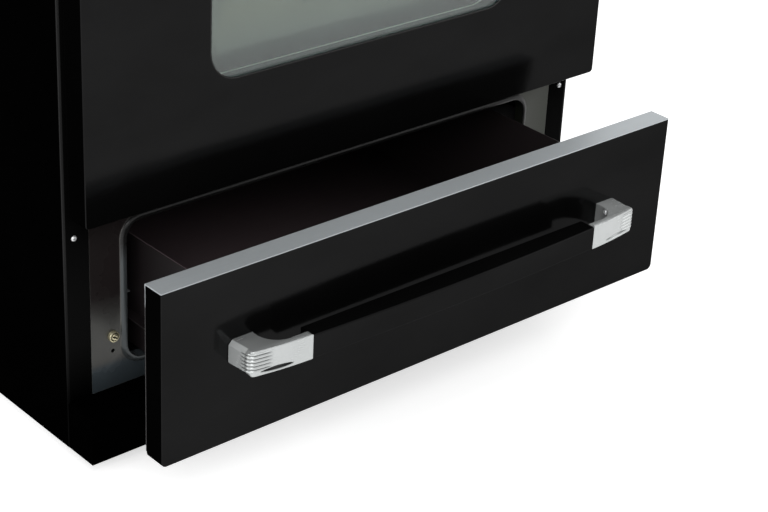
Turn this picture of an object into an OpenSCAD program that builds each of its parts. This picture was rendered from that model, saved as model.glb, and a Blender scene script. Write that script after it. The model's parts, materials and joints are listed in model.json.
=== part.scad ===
// Freestanding gas range with a storage drawer, built from separate sheet-metal, glass and cast pieces.
// Sizes are in millimetres and +Z is up. In the modules, X runs across from the centre plane,
// Y runs back from the front frame's face and Z is the height over the floor. The last section
// moves everything together, so that the origin is the middle of the footprint on the floor.

/* [Body] */
// Width across the two side panels
body_w = 758; // [632:1:910]
// Depth from the face of the front frame to the outside of the rear panel
body_d = 612; // [510:1:735]
// Height of the cooktop's rim over the floor
cook_h = 914; // [762:1:1097]
// Height of the underside of the body over the floor
foot_h = 18; // [14:1:40]
// Thickness of the sheet steel
sheet = 1.5; // [1:0.1:2]
// Width of each front stile
stile_w = 31.5; // [26:0.5:40]
// Height of the backguard over the cooktop's rim
backguard_h = 266; // [120:1:320]
// Depth of the backguard
backguard_d = 54; // [40:1:70]

/* [Kick plate] */
// Height of the kick plate
kick_h = 57.5; // [40:0.5:80]
// How far the kick plate stands out from the front frame
kick_out = 46; // [30:0.5:60]

/* [Door and drawer face] */
// Distance from the front frame to the faces of the closed door, the drawer and the control panel
face_out = 43; // [40:0.5:55]

/* [Drawer] */
// Height of the drawer front
drawer_front_h = 207; // [172:1:249]
// Thickness of the drawer front
drawer_front_t = 28.4; // [20:0.2:34]
// Gap between the kick plate and the drawer front
drawer_gap = 6.5; // [4:0.5:12]
// Radius of the drawer front's lower corners
drawer_corner_r = 7; // [3:0.5:12]
// How far the drawer stands open in the rest pose
drawer_open = 131.5; // [0:0.5:160]
// Whole travel of the drawer
drawer_travel = 340; // [260:5:350]
// Free width on each side of the drawer's box in the opening
drawer_side_gap = 18; // [14:1:24]
// Free height over the drawer's box in the opening
drawer_top_gap = 26; // [10:1:60]
// Free depth behind the closed drawer
drawer_rear_gap = 64.6; // [60:0.1:120]
// Distance of the opening that the drawer runs through from the front stiles
mouth_margin = 46.5; // [40:0.5:52]
// Corner radius of that opening
mouth_r = 20; // [14:1:32]
// Width of the rolled bead around that opening
bead_w = 8; // [6:0.5:12]
// Height of the bead over the surround's face
bead_out = 4; // [2:0.5:6]

/* [Oven] */
// Distance of the oven's inner walls from the outside of the body
oven_side_gap = 79; // [72:1:110]
// Distance of the oven's rear wall from the outside of the rear panel
oven_rear_gap = 142.5; // [120:0.5:200]
// Number of rack positions
ledge_count = 5; // [4:1:6]
// Height of the oven over the uppermost rack position
oven_top_room = 91.5; // [60:0.5:130]
// Radius of the rack's frame wire
rack_rod_r = 3; // [2.5:0.5:4]
// Number of cross wires in a rack
rack_wires = 13; // [9:2:17]

/* [Oven door] */
// Gap between the closed drawer front and the door
door_gap = 16.5; // [14:0.5:24]
// Distance of the window from the sides of the body
window_side = 157; // [120:1:180]
// Height of the door over the window
window_down = 142; // [110:1:180]
// Height of the window's lower edge over the door's lower edge
window_up = 122.5; // [100:0.5:150]
// Corner radius of the window
window_r = 37; // [20:1:50]
// Height of the hinge pins over the door's lower edge
hinge_up = 12.5; // [11:0.5:16]
// Distance of the hinge pins behind the door's face
hinge_in = 21; // [18:0.5:22]
// Radius of the hinge pins
hinge_pin_r = 3; // [2.5:0.5:4]

/* [Handles] */
// Width of a handle across its end pieces
handle_w = 587; // [480:1:640]
// Width of each end piece
end_w = 80.5; // [66:0.5:100]
// Distance from the face to the front of the end pieces' tips
handle_reach = 42.5; // [36:0.5:50]
// Height of the end pieces
handle_h = 30; // [24:1:36]
// Height of the bar
bar_h = 28; // [20:1:32]
// Thickness of the bar at its ends, front to back
bar_t = 22; // [14:0.5:24]
// Thickness of the end pieces where they meet the bar
tip_t = 10; // [8:0.5:14]
// How far the middle of the bar bows out past its ends
bar_bow = 5; // [0:0.5:8]
// Height of the drawer's handle over the lower edge of the drawer front
drawer_handle_up = 110; // [80:1:130]
// Distance of the door's handle below the upper edge of the door
door_handle_down = 60; // [45:1:90]

/* [Controls] */
// Height of the control panel
panel_h = 95; // [80:1:110]
// Radius of the knobs
knob_r = 23; // [18:0.5:26]
// Length of the knobs
knob_l = 24; // [18:0.5:30]
// Radius of the valve stems
stem_r = 3; // [2.5:0.5:4]
// Distance of the outer knobs from the sides of the body
outer_knob_in = 89; // [80:1:110]
// How far a knob or the lamp switch is pushed in
push = 3; // [2:0.5:4]

/* [Cooktop] */
// Distance of the burners from the centre plane
burner_x = 178; // [160:1:190]
// Distance of the front burners from the basin's front edge
front_burner_in = 143; // [120:1:155]
// Distance of the rear burners from the basin's rear edge
rear_burner_in = 141; // [120:1:155]
// Radius of the burner caps
cap_r = 38; // [30:1:46]
// Number of flame ports around a burner
port_count = 18; // [12:1:24]
// Width of the grate bars
grate_bar = 9; // [7:0.5:12]

/* [Clearances] */
// Radial clearance of pins and stems that turn or slide
running = 0.06; // [0.02:0.01:0.1]
// Gap between pieces that are fitted side by side
fit = 0.3; // [0.2:0.05:0.5]

/* [Hidden] */
$fn = 48;
CUT = 1; // how far a cut runs past the faces that it goes through
CAPS = ["front_left", "front_right", "rear_left", "rear_right"];

// body outline
side_x = body_w / 2;
inner_x = side_x - stile_w;                    // inner edge of a stile
clear_x = inner_x - fit;                       // half width of what fits between the stiles
kick_top = foot_h + kick_h;
drawer_z0 = kick_top + drawer_gap;
drawer_z1 = drawer_z0 + drawer_front_h;
door_z0 = drawer_z1 + door_gap;
top_h = 24;                                    // height of the cooktop's skirt
panel_z1 = cook_h - top_h - 3;
panel_z0 = panel_z1 - panel_h;
door_z1 = panel_z0 - 8;
side_z1 = cook_h - top_h - fit;
tray_z = foot_h + sheet + fit;
flange_w = 14;                                 // inward returns of the side panels
rear_screw_z = [60, foot_h + (cook_h - foot_h) / 3, foot_h + (cook_h - foot_h) * 2 / 3, side_z1 - 50];
screw_r = 2;
screw_head_r = 4.6;

// levelling feet
foot_x = side_x - 49;
foot_y = [48, body_d - 48];
foot_r = 17;
foot_pad_h = 9;
foot_stem_r = 4;

// drawer opening
surround_z0 = kick_top + 0.5;
mouth_x = inner_x - mouth_margin;
mouth_z0 = drawer_z0 + 23;
mouth_z1 = drawer_z1 - 13;
surround_z1 = mouth_z1 + bead_w + 1.5;
lip_d = 10;                                    // depth of the lip behind the opening
drawer_back_y = -(face_out + drawer_open - drawer_front_t);
drawer_face_y = -(face_out + drawer_open);
box_x = mouth_x - drawer_side_gap;              // half width of the drawer's box
box_z0 = mouth_z0 + 7;
box_z1 = mouth_z1 - drawer_top_gap;
box_y1 = body_d - drawer_rear_gap - drawer_open; // rear of the box in the rest pose
rail_y0 = sheet + lip_d + 4;
rail_y1 = body_d - 56.5;
rail_z = box_z0 + 40;
rail_h = 28;
rail_x1 = mouth_x - 2;
rail_x0 = box_x + 1.5;
bracket_x = clear_x - sheet;
bracket_screws = [[43, 52], [85, 18]];          // distance back, and height over the rail
fitting_x = -(mouth_x + bead_w + 10);          // brass fitting on the surround's left margin
fitting_z = drawer_z0 + 59;

// oven
rail_gap_z = surround_z1 + fit;                // the middle rail lies above the surround
cavity_plate_z0 = door_z0 + 1;
cavity_plate_z1 = door_z1 - 16;
cavity_x = side_x - oven_side_gap;
cavity_z0 = cavity_plate_z0 + 28;
cavity_z1 = cavity_plate_z1 - 24;
cavity_y1 = body_d - oven_rear_gap;
cavity_r = 12;
floor_z = cavity_z0 + 34;
floor_slots = 7;
slot_pitch = (cavity_y1 - 77.5) / floor_slots;
ledge_z0 = floor_z + 36;
ledge_h = 4;
ledge_w = 13;
ledge_pitch = (cavity_z1 - oven_top_room - ledge_z0) / (ledge_count - 1);
rack_x = cavity_x - ledge_w + 5;
lower_rack_z = ledge_z0 + ledge_pitch + ledge_h + fit + rack_rod_r;
upper_rack_z = ledge_z0 + 3 * ledge_pitch + ledge_h + fit + rack_rod_r;
lamp_x = 100 - cavity_x;
lamp_z = cavity_z1 - 60;
lamp_r = 24;
probe_x = -lamp_x;
probe_r = 3;
wool_t = 30;
gas_tube_r = 8;
tube_y = [90, cavity_y1 - 89.5];                // ends of the two oven burners
side_ports = 9;
port_pitch = (tube_y[1] - tube_y[0] - 42) / (side_ports - 1);
strut_y = (tube_y[0] + tube_y[1]) / 2 - 35;      // supports of the burners and of their igniters
bake_x = 120;
broil_x = 80;

// door
door_x = side_x - fit;
door_face_y = -face_out;
liner_y = -3.5;                                // back of the door, just clear of the frame
skin_back_y = -12;
hinge_y = door_face_y + hinge_in;
hinge_z = door_z0 + hinge_up;
hinge_x = inner_x - 17.5;
arm_t = 7;
arm_h = 10;
slot_w = arm_t + 4;
window_x = side_x - window_side;
window_z0 = door_z0 + window_up;
window_z1 = door_z1 - window_down;
glass_t = 4;
glass_lap = 14;
inner_glass_y = liner_y - sheet - 0.1 - glass_t;
door_edge_r = 5;
door_handle_z = door_z1 - door_handle_down;
drawer_handle_z = drawer_z0 + drawer_handle_up;

// controls
knob_z = (panel_z0 + panel_z1) / 2;
knob_gap = push + 1;                           // distance from the panel to the back of a knob
knob_y = door_face_y - knob_gap;
outer_knob_x = side_x - outer_knob_in;
knob_x = [-burner_x, burner_x, -outer_knob_x, outer_knob_x];
stem_tip_y = knob_y - knob_l * 3 / 4;
valve_y = [4, 34];
valve_bore_y = 18;                             // the collar's bore ends and the stem's guide begins
collar_r = 5.5;
pipe_r = 10;
pipe_y = valve_y[1] + pipe_r + 0.1;
pipe_x = inner_x - 30;
nipple_r = 4;
tube_r = 4;
tube_z = knob_z + 32;
regulator_y = body_d - 72;
inlet_out = 6;                                 // how far the rear connections stand out
inlet_r = 9.2;
inlet_l = 20;
cord_x = pipe_x - 8;
cord_z = foot_h + 90;
cord_r = 5;
switch_x = -burner_x / 2;                      // midway between two knobs
switch_r = 6;

// cooktop
cook_x = side_x + 1;
cook_y = [door_face_y + 1, body_d - backguard_d - 5];
basin_x = cook_x - 24;
basin_y = [cook_y[0] + 24, cook_y[1] - 20];
basin_z = cook_h - 8;
front_burner_y = basin_y[0] + front_burner_in;
rear_burner_y = basin_y[1] - rear_burner_in;
burner_at = [[-burner_x, front_burner_y], [burner_x, front_burner_y],
    [-burner_x, rear_burner_y], [burner_x, rear_burner_y]];
hub_r = 17;
crown_z = basin_z + 13;
crown_r = cap_r - 3;
cap_z = crown_z + fit;
cap_t = 6;
electrode_r = 3.2;
electrode_at = cap_r + 14;
grate_z0 = cap_z + cap_t + 3;
grate_t = 12;
grate_x = [5, basin_x - 9];
grate_y = [basin_y[0] + 9, basin_y[1] - 9];
finger_stop = 22;
finger_w = 8;
vent_count = 12;

// handles
groove_count = 4;
groove_pitch = 4.4;
groove_h = 1.6;

// the frame's origin: the middle of the footprint in the rest pose
front_y = min(drawer_face_y - handle_reach - bar_bow, knob_y - knob_l);
rear_y = body_d + inlet_out;
middle_y = (front_y + rear_y) / 2;

// an interval given by two offsets from one place
function span(at, offsets) = [at + offsets[0], at + offsets[1]];

module box(x, y, z) {
    translate([x[0], y[0], z[0]]) cube([x[1] - x[0], y[1] - y[0], z[1] - z[0]]);
}

// the children and their mirror image across the centre plane
module both_sides() {
    children();
    mirror([1, 0, 0]) children();
}

// a plate of a 2D outline in X and Z, from y[0] to y[1]
module upright(y) {
    translate([0, y[1], 0]) rotate([90, 0, 0]) linear_extrude(y[1] - y[0]) children();
}

// a rectangle with round corners, symmetric in x
module round_rect(half_w, y, r) {
    translate([-half_w + r, y[0]]) square([2 * (half_w - r), y[1] - y[0]]);
    translate([-half_w, y[0] + r]) square([2 * half_w, y[1] - y[0] - 2 * r]);
    for (sx = [-1, 1], cy = [y[0] + r, y[1] - r]) translate([sx * (half_w - r), cy]) circle(r);
}

// a rectangle with round corners at one end of y only
module round_ended(half_w, y, r, upper) {
    cy = upper ? y[1] - r : y[0] + r;
    translate([-half_w + r, y[0]]) square([2 * (half_w - r), y[1] - y[0]]);
    translate([-half_w, upper ? y[0] : y[0] + r]) square([2 * half_w, y[1] - y[0] - r]);
    for (sx = [-1, 1]) translate([sx * (half_w - r), cy]) circle(r);
}

// a round rod from y0 to y1 along Y
module rod_y(x, z, r, y) {
    translate([x, y[1], z]) rotate([90, 0, 0]) cylinder(r = r, h = y[1] - y[0]);
}

// a round rod along X
module rod_x(y, z, r, x) {
    translate([x[0], y, z]) rotate([0, 90, 0]) cylinder(r = r, h = x[1] - x[0]);
}

module rod_z(x, y, r, z) {
    translate([x, y, z[0]]) cylinder(r = r, h = z[1] - z[0]);
}

// ---- body ----

// one side panel, at positive x, with returns along its rear and lower edges
module side_panel() {
    difference() {
        union() {
            box([side_x - sheet, side_x], [0, body_d - sheet - fit], [foot_h, side_z1]);
            box([side_x - sheet - flange_w, side_x], [10, body_d - sheet - fit],
                [foot_h, foot_h + sheet]);
            box([side_x - sheet - flange_w, side_x],
                [body_d - 2 * sheet - fit, body_d - sheet - fit], [foot_h, side_z1]);
        }
        for (z = rear_screw_z)
            rod_y(side_x - 9, z, screw_r + running, [body_d - 20, body_d]);
    }
}

module side_panel_left() {
    color([0.02, 0.02, 0.02]) mirror([1, 0, 0]) side_panel();
}

module side_panel_right() {
    color([0.02, 0.02, 0.02]) side_panel();
}

module rear_panel() {
    color([0.62, 0.63, 0.64]) difference() {
        box([-side_x + 2, side_x - 2], [body_d - sheet, body_d], [foot_h + 6, side_z1]);
        both_sides() for (z = rear_screw_z)
            rod_y(side_x - 9, z, screw_r + running, [body_d - 20, body_d + CUT]);
        rod_y(pipe_x, knob_z, inlet_r + 9, [body_d - 20, body_d + CUT]);
        rod_y(-cord_x, cord_z, cord_r + 4 + fit, [body_d - 20, body_d + CUT]);
    }
}

// floor pan with upturned edges and a threaded boss over each foot
module base_tray() {
    tray_x = side_x - sheet - fit;
    tray_y = [26, body_d - sheet - flange_w];
    color([0.6, 0.61, 0.62]) difference() {
        union() {
            box([-tray_x, tray_x], tray_y, [tray_z, tray_z + sheet]);
            both_sides() box([tray_x - sheet, tray_x], tray_y, [tray_z, tray_z + 30]);
            box([-tray_x, tray_x], [tray_y[1] - sheet, tray_y[1]], [tray_z, tray_z + 30]);
            for (x = [-foot_x, foot_x], y = foot_y)
                rod_z(x, y, foot_stem_r + 4, [tray_z, tray_z + 10]);
        }
        for (x = [-foot_x, foot_x], y = foot_y)
            rod_z(x, y, foot_stem_r + running, [tray_z - CUT, tray_z + 10 + CUT]);
    }
}

module levelling_feet() {
    color([0.12, 0.12, 0.12]) for (x = [-foot_x, foot_x], y = foot_y) {
        rod_z(x, y, foot_r, [0, foot_pad_h]);
        rod_z(x, y, foot_stem_r, [foot_pad_h, tray_z + 16]);
        translate([x, y, foot_pad_h]) cylinder(r = 8, h = 5, $fn = 6);
    }
}

module kick_plate() {
    kick_y = [-kick_out, -0.1];
    color([0.02, 0.02, 0.02]) difference() {
        box([-side_x, side_x], kick_y, [foot_h, kick_top]);
        box([-side_x + sheet, side_x - sheet], [kick_y[0] + sheet, 0],
            [foot_h - CUT, kick_top - sheet]);
    }
}

// stiles with folded inner edges, and the three rails between them
module front_frame() {
    stile_x = [inner_x, side_x - sheet - 0.1];
    color([0.02, 0.02, 0.02]) difference() {
        union() {
            both_sides() {
                box(stile_x, [0, sheet], [foot_h + sheet + 0.1, side_z1]);
                box([inner_x, inner_x + sheet], [0, 24], [foot_h + sheet + 0.1, side_z1]);
            }
            frame_rail([tray_z + sheet + 2, kick_top], 1);
            frame_rail([rail_gap_z, cavity_plate_z0 - fit], 1);
            frame_rail([cavity_plate_z1 + fit, panel_z0 - 2], -1);
        }
        both_sides() rod_y(side_x - 13, door_z0 - 30, screw_r + running, [-CUT, 10]);
    }
}

// a folded rail: its face, and a flange along its lower edge (side 1) or its upper edge (side -1)
module frame_rail(z, side) {
    box([-inner_x - CUT, inner_x + CUT], [0, sheet], z);
    flange_z = side > 0 ? [z[0], z[0] + sheet] : [z[1] - sheet, z[1]];
    box([-inner_x - CUT, inner_x + CUT], [0, 18], flange_z);
}

// pressed plate that the drawer runs through, with a bead around its opening
module drawer_surround() {
    mouth = [mouth_z0, mouth_z1];
    color([0.45, 0.47, 0.47]) difference() {
        union() {
            box([-clear_x, clear_x], [0, sheet], [surround_z0, surround_z1]);
            upright([-bead_out, 0.1])
                round_rect(mouth_x + bead_w, mouth + [-bead_w, bead_w], mouth_r + bead_w);
            upright([0, sheet + lip_d])
                round_rect(mouth_x + sheet, mouth + [-sheet, sheet], mouth_r + sheet);
        }
        upright([-bead_out - CUT, sheet + lip_d + CUT]) round_rect(mouth_x, mouth, mouth_r);
        rod_y(fitting_x, fitting_z, 3.1, [-CUT, sheet + CUT]);
        rod_y(fitting_x, fitting_z - 19, 2.5, [-CUT, sheet + CUT]);
    }
}

// a screw along Y with its head in front of y
module screw_y(x, z, y, l, head_r) {
    rod_y(x, z, head_r, [y - 2.4, y]);
    rod_y(x, z, screw_r, [y - 0.1, y + l]);
}

module frame_screws() {
    color([0.8, 0.8, 0.8]) {
        both_sides() screw_y(side_x - 13, door_z0 - 30, 0, 9, screw_head_r);
        both_sides() for (z = rear_screw_z)
            translate([side_x - 9, body_d, z]) mirror([0, 1, 0]) screw_y(0, 0, 0, 9, screw_head_r);
        both_sides() for (p = bracket_screws) bracket_screw(p);
        rod_y(fitting_x, fitting_z, 6.5, [-6, 0]);
        rod_y(fitting_x, fitting_z, 3, [-1, 8]);
    }
}

// a screw in the bracket of a drawer rail, with its head towards the drawer
module bracket_screw(p) {
    rod_x(p[0], rail_z + p[1], screw_head_r, [bracket_x - 2.4, bracket_x]);
    rod_x(p[0], rail_z + p[1], screw_r, [bracket_x - 0.1, bracket_x + sheet + 0.1]);
}

// channels that carry the drawer, hung from brackets at their ends
module drawer_rails() {
    color([0.6, 0.61, 0.62]) both_sides() difference() {
        union() {
            box([rail_x1 - sheet, rail_x1], [rail_y0, rail_y1], [rail_z, rail_z + rail_h]);
            box([rail_x0, rail_x1], [rail_y0, rail_y1], [rail_z, rail_z + sheet]);
            box([rail_x0, rail_x1], [rail_y0, rail_y1], [rail_z + rail_h - sheet, rail_z + rail_h]);
            for (y = [[rail_y0 + 14, rail_y0 + 94], [rail_y1 - 80, rail_y1]]) {
                box([rail_x0, bracket_x + sheet], y, [rail_z + rail_h - sheet, rail_z + rail_h]);
                box([bracket_x, bracket_x + sheet], y, [rail_z - 20, rail_z + rail_h + 50]);
            }
        }
        for (p = bracket_screws)
            rod_x(p[0], rail_z + p[1], screw_r + running, [bracket_x - CUT, bracket_x + sheet + CUT]);
    }
}

// ---- oven ----

module oven_cavity() {
    color([0.1, 0.12, 0.16]) difference() {
        union() {
            box([-clear_x, clear_x], [0, sheet], [cavity_plate_z0, cavity_plate_z1]);
            upright([0, cavity_y1 + sheet]) round_rect(cavity_x + sheet,
                [cavity_z0 - sheet, cavity_z1 + sheet], cavity_r + sheet);
        }
        difference() {
            upright([-CUT, cavity_y1]) round_rect(cavity_x, [cavity_z0, cavity_z1], cavity_r);
            both_sides() for (i = [0:ledge_count - 1])
                box([cavity_x - ledge_w, cavity_x + CUT], [30, cavity_y1 - 16],
                    span(ledge_z0 + i * ledge_pitch, [0, ledge_h]));
        }
        both_sides() box(span(hinge_x, [-slot_w / 2 - 1, slot_w / 2 + 1]), [-CUT, sheet + CUT],
            span(hinge_z, [-9, 9]));
        rod_y(lamp_x, lamp_z, lamp_r - 4 + fit, [cavity_y1 - CUT, cavity_y1 + sheet + CUT]);
        rod_y(probe_x, lamp_z, probe_r + fit, [cavity_y1 - CUT, cavity_y1 + sheet + CUT]);
        box([-60, 60], [cavity_y1 - 40, cavity_y1 - 15], [cavity_z1 - CUT, cavity_z1 + sheet + CUT]);
    }
}

// lift-out floor with heat slots along its sides
module oven_floor() {
    color([0.1, 0.12, 0.16]) difference() {
        union() {
            box([-cavity_x + 2, cavity_x - 2], [8, cavity_y1 - 4], [floor_z, floor_z + sheet]);
            for (y = [8, cavity_y1 - 4 - sheet])
                box((cavity_x - cavity_r) * [-1, 1], [y, y + sheet], [cavity_z0 + 0.2, floor_z + sheet]);
        }
        both_sides() for (i = [0:floor_slots - 1])
            box([cavity_x - 34, cavity_x - 24], span(50 + i * slot_pitch, [0, slot_pitch - 18]),
                [floor_z - CUT, floor_z + sheet + CUT]);
        rod_y(0, cavity_z0 + 16, gas_tube_r + 1, [cavity_y1 - 10, cavity_y1]);
    }
}

// two gas tubes between square headers, and a feed that runs back to y_end
module tube_loop(half_w, y, z, r, y_end) {
    header = r + 2;
    for (x = [-half_w, half_w]) rod_y(x, z, r, y);
    for (cy = y)
        box((half_w + header) * [-1, 1], span(cy, [-header, header]), span(z, [-header, header]));
    rod_y(0, z, r, [y[1], y_end]);
}

module bake_burner() {
    color([0.55, 0.55, 0.55]) difference() {
        union() {
            tube_loop(bake_x, tube_y, cavity_z0 + 16, gas_tube_r, cavity_y1 - 0.2);
            both_sides() box(span(bake_x, [-4, 4]), span(strut_y, [0, 12]),
                [cavity_z0 + 0.1, cavity_z0 + 12]);
        }
        for (s = [-1, 1], i = [0:side_ports - 1])
            rod_x(tube_y[0] + 20 + i * port_pitch, cavity_z0 + 16, 1.3,
                span(s * (bake_x + 4), [-6, 6]));
    }
}

module broil_burner() {
    color([0.55, 0.55, 0.55]) difference() {
        union() {
            tube_loop(broil_x, tube_y, cavity_z1 - 24, gas_tube_r, cavity_y1 - 0.2);
            both_sides() box(span(broil_x, [-4, 4]), span(strut_y, [0, 12]),
                [cavity_z1 - 20, cavity_z1 - 0.1]);
        }
        for (s = [-1, 1], i = [0:side_ports - 1])
            rod_z(s * broil_x, tube_y[0] + 20 + i * port_pitch, 1.3, span(cavity_z1 - 34, [0, 8]));
    }
}

// hot-surface igniters on brackets beside the two oven burners
module oven_igniters() {
    color([0.85, 0.83, 0.78]) {
        box(span(bake_x, [14, 28]), span(strut_y, [30, 90]), span(cavity_z0, [9, 21]));
        box(span(bake_x, [18, 24]), span(strut_y, [40, 52]), [cavity_z0 + 0.1, cavity_z0 + 10]);
        box(span(broil_x, [14, 28]), span(strut_y, [30, 90]), span(cavity_z1, [-30, -18]));
        box(span(broil_x, [18, 24]), span(strut_y, [40, 52]), [cavity_z1 - 20, cavity_z1 - 0.1]);
    }
}

// lamp holder behind the rear wall, with its glass dome inside the oven
module oven_lamp() {
    color([0.95, 0.93, 0.85]) {
        rod_y(lamp_x, lamp_z, lamp_r, [cavity_y1 - 6, cavity_y1 - 0.1]);
        translate([lamp_x, cavity_y1 - 6, lamp_z]) difference() {
            sphere(lamp_r - 6);
            box([-lamp_r, lamp_r], [-0.1, lamp_r], [-lamp_r, lamp_r]);
        }
        rod_y(lamp_x, lamp_z, lamp_r - 4, [cavity_y1 - 0.2, cavity_y1 + 24]);
    }
}

module temperature_probe() {
    color([0.75, 0.75, 0.75]) {
        rod_y(probe_x, lamp_z, probe_r, [cavity_y1 - 130, cavity_y1 + 20]);
        translate([probe_x, cavity_y1 - 130, lamp_z]) sphere(probe_r);
        box(span(probe_x, [-12, 12]), span(cavity_y1, [-1.6, -0.1]), span(lamp_z, [-6, 6]));
    }
}

// blanket over the cavity's sides, top and rear
module oven_insulation() {
    wool_y = [76, cavity_y1 + sheet + wool_t];
    wool_z1 = min(cavity_z1 + sheet + wool_t, tube_z - 20);
    color([0.85, 0.8, 0.62]) difference() {
        box((cavity_x + sheet + wool_t) * [-1, 1], wool_y, [cavity_z0 - 10, wool_z1]);
        box((cavity_x + sheet + fit) * [-1, 1], [0, cavity_y1 + sheet + fit],
            [0, cavity_z1 + sheet + fit]);
        rod_y(lamp_x, lamp_z, lamp_r, [cavity_y1, cavity_y1 + 60]);
        rod_y(probe_x, lamp_z, probe_r + 2, [cavity_y1, cavity_y1 + 60]);
        box([-62, 62], [cavity_y1 - 42, cavity_y1 - 13], [cavity_z1 - CUT, cavity_z1 + 60]);
    }
}

// woven gasket around the oven's mouth, closed against by the door
module door_gasket() {
    inner = [cavity_z0 - 2, cavity_z1 + 6];
    color([0.3, 0.3, 0.3]) upright([liner_y + fit, -0.05]) difference() {
        round_rect(cavity_x + 14, inner + [-8, 8], 20);
        round_rect(cavity_x + 6, inner, 12);
    }
}

// hooked arms fixed in the body, whose eyes the door's hinge pins turn in
module hinge_arms() {
    color([0.7, 0.7, 0.7]) both_sides() difference() {
        union() {
            box(span(hinge_x, [-arm_t / 2, arm_t / 2]), [hinge_y, 30],
                span(hinge_z, [-arm_h / 2, arm_h / 2]));
            rod_x(hinge_y, hinge_z, arm_h / 2 + 2, span(hinge_x, [-arm_t / 2, arm_t / 2]));
            box(span(hinge_x, [-7, 7]), [12, 70], span(hinge_z, [-9, 9]));
        }
        rod_x(hinge_y, hinge_z, hinge_pin_r + running, span(hinge_x, [-arm_t, arm_t]));
    }
}

// ---- gas ----

// pipe along the valves, and its leg back to the regulator
module gas_manifold() {
    color([0.35, 0.35, 0.36]) difference() {
        union() {
            rod_x(pipe_y, knob_z, pipe_r, [-outer_knob_x - 20, pipe_x]);
            translate([pipe_x, pipe_y, knob_z]) sphere(pipe_r);
            rod_y(pipe_x, knob_z, pipe_r, [pipe_y, regulator_y]);
        }
        for (x = concat(knob_x, [0]))
            rod_y(x, knob_z, nipple_r + running, [valve_y[1] - 4, pipe_y]);
    }
}

// four burner valves and the oven thermostat, screwed into the manifold
module gas_valves() {
    color([0.72, 0.6, 0.3]) {
        for (x = knob_x) difference() {
            union() {
                box(span(x, [-11, 11]), valve_y, span(knob_z, [-12, 12]));
                rod_y(x, knob_z, nipple_r, [valve_y[1] - 1, valve_y[1] + 6]);
                rod_z(x, 24, tube_r + 2, [knob_z, knob_z + 18]);
            }
            rod_y(x, knob_z, collar_r + 0.5, [valve_y[0] - CUT, valve_bore_y]);
            rod_y(x, knob_z, stem_r + running, [0, valve_bore_y + 12]);
        }
        difference() {
            union() {
                box([-26, 26], valve_y, span(knob_z, [-18, 18]));
                rod_y(0, knob_z, nipple_r, [valve_y[1] - 1, valve_y[1] + 6]);
            }
            rod_y(0, knob_z, stem_r + running, [0, valve_bore_y + 12]);
        }
    }
}

// regulator with the threaded inlet that the house's gas line joins
module pressure_regulator() {
    mouth_y = body_d + inlet_out;
    color([0.7, 0.7, 0.68]) difference() {
        union() {
            rod_z(pipe_x, regulator_y + 34, 24, span(knob_z, [-16, 16]));
            rod_z(pipe_x, regulator_y + 34, 15, span(knob_z, [-30, 24]));
            rod_y(pipe_x, knob_z, pipe_r + 3, [regulator_y + 0.1, regulator_y + 34]);
            rod_y(pipe_x, knob_z, inlet_r + 6, [regulator_y + 34, mouth_y]);
        }
        rod_y(pipe_x, knob_z, inlet_r, [mouth_y - inlet_l, mouth_y + CUT]);
    }
}

// aluminium tubes from the valves to the burners; the outer valves feed the rear burners
module burner_tubes() {
    color([0.75, 0.76, 0.78]) for (i = [0:3]) {
        at = burner_at[i];
        tube_z0 = knob_z + 18 + 0.1;
        hub_z = basin_z - 22;
        rod_z(knob_x[i], 24, tube_r, [tube_z0, tube_z]);
        translate([knob_x[i], 24, tube_z]) sphere(tube_r);
        rod_y(knob_x[i], tube_z, tube_r, [24, at[1]]);
        translate([knob_x[i], at[1], tube_z]) sphere(tube_r);
        if (knob_x[i] != at[0])
            rod_x(at[1], tube_z, tube_r, [min(knob_x[i], at[0]), max(knob_x[i], at[0])]);
        translate([at[0], at[1], tube_z]) sphere(tube_r);
        if (hub_z - 0.1 > tube_z) rod_z(at[0], at[1], tube_r, [tube_z, hub_z - 0.1]);
    }
}

// ---- cooktop ----

// pressed top: a skirt, a raised rim and a basin with the burner holes
module cooktop() {
    color([0.02, 0.02, 0.02]) difference() {
        union() {
            difference() {
                translate([0, 0, cook_h - top_h]) linear_extrude(top_h) round_rect(cook_x, cook_y, 14);
                translate([0, 0, cook_h - top_h - CUT]) linear_extrude(top_h + CUT - sheet)
                    round_rect(cook_x - sheet, cook_y + [sheet, -sheet], 14 - sheet);
            }
            translate([0, 0, basin_z - sheet]) linear_extrude(cook_h - basin_z + sheet)
                round_rect(basin_x + sheet, basin_y + [-sheet, sheet], 22 + sheet);
        }
        translate([0, 0, basin_z]) linear_extrude(cook_h) round_rect(basin_x, basin_y, 22);
        for (p = burner_at) rod_z(p[0], p[1], hub_r + fit, [basin_z - 20, cook_h]);
        for (p = burner_at) translate([p[0], p[1], 0])
            rod_z(electrode_at * -sign(p[0]), 0, electrode_r + fit, [basin_z - 20, cook_h]);
    }
}

// burner bodies: a hub through the cooktop, a flange on it and a crown with flame ports
module burner_bases() {
    color([0.6, 0.6, 0.6]) for (p = burner_at) translate([p[0], p[1], 0]) difference() {
        union() {
            rod_z(0, 0, hub_r, [basin_z - 22, basin_z + 2]);
            rod_z(0, 0, crown_r + 8, [basin_z + 0.05, basin_z + 3]);
            rod_z(0, 0, crown_r, [basin_z + 2, crown_z]);
        }
        rod_z(0, 0, crown_r - 8, [basin_z + 5, crown_z + CUT]);
        for (i = [0:port_count - 1]) rotate(i * 360 / port_count)
            box([crown_r - 10, crown_r + 4], [-1.1, 1.1], [crown_z - 5, crown_z + CUT]);
    }
}

module spark_electrodes() {
    color([0.95, 0.94, 0.9]) for (p = burner_at)
        translate([p[0] - sign(p[0]) * electrode_at, p[1], 0]) {
            rod_z(0, 0, electrode_r, [basin_z - 24, crown_z - 3]);
            rod_z(0, 0, 1, [crown_z - 4, crown_z + 4]);
        }
}

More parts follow.
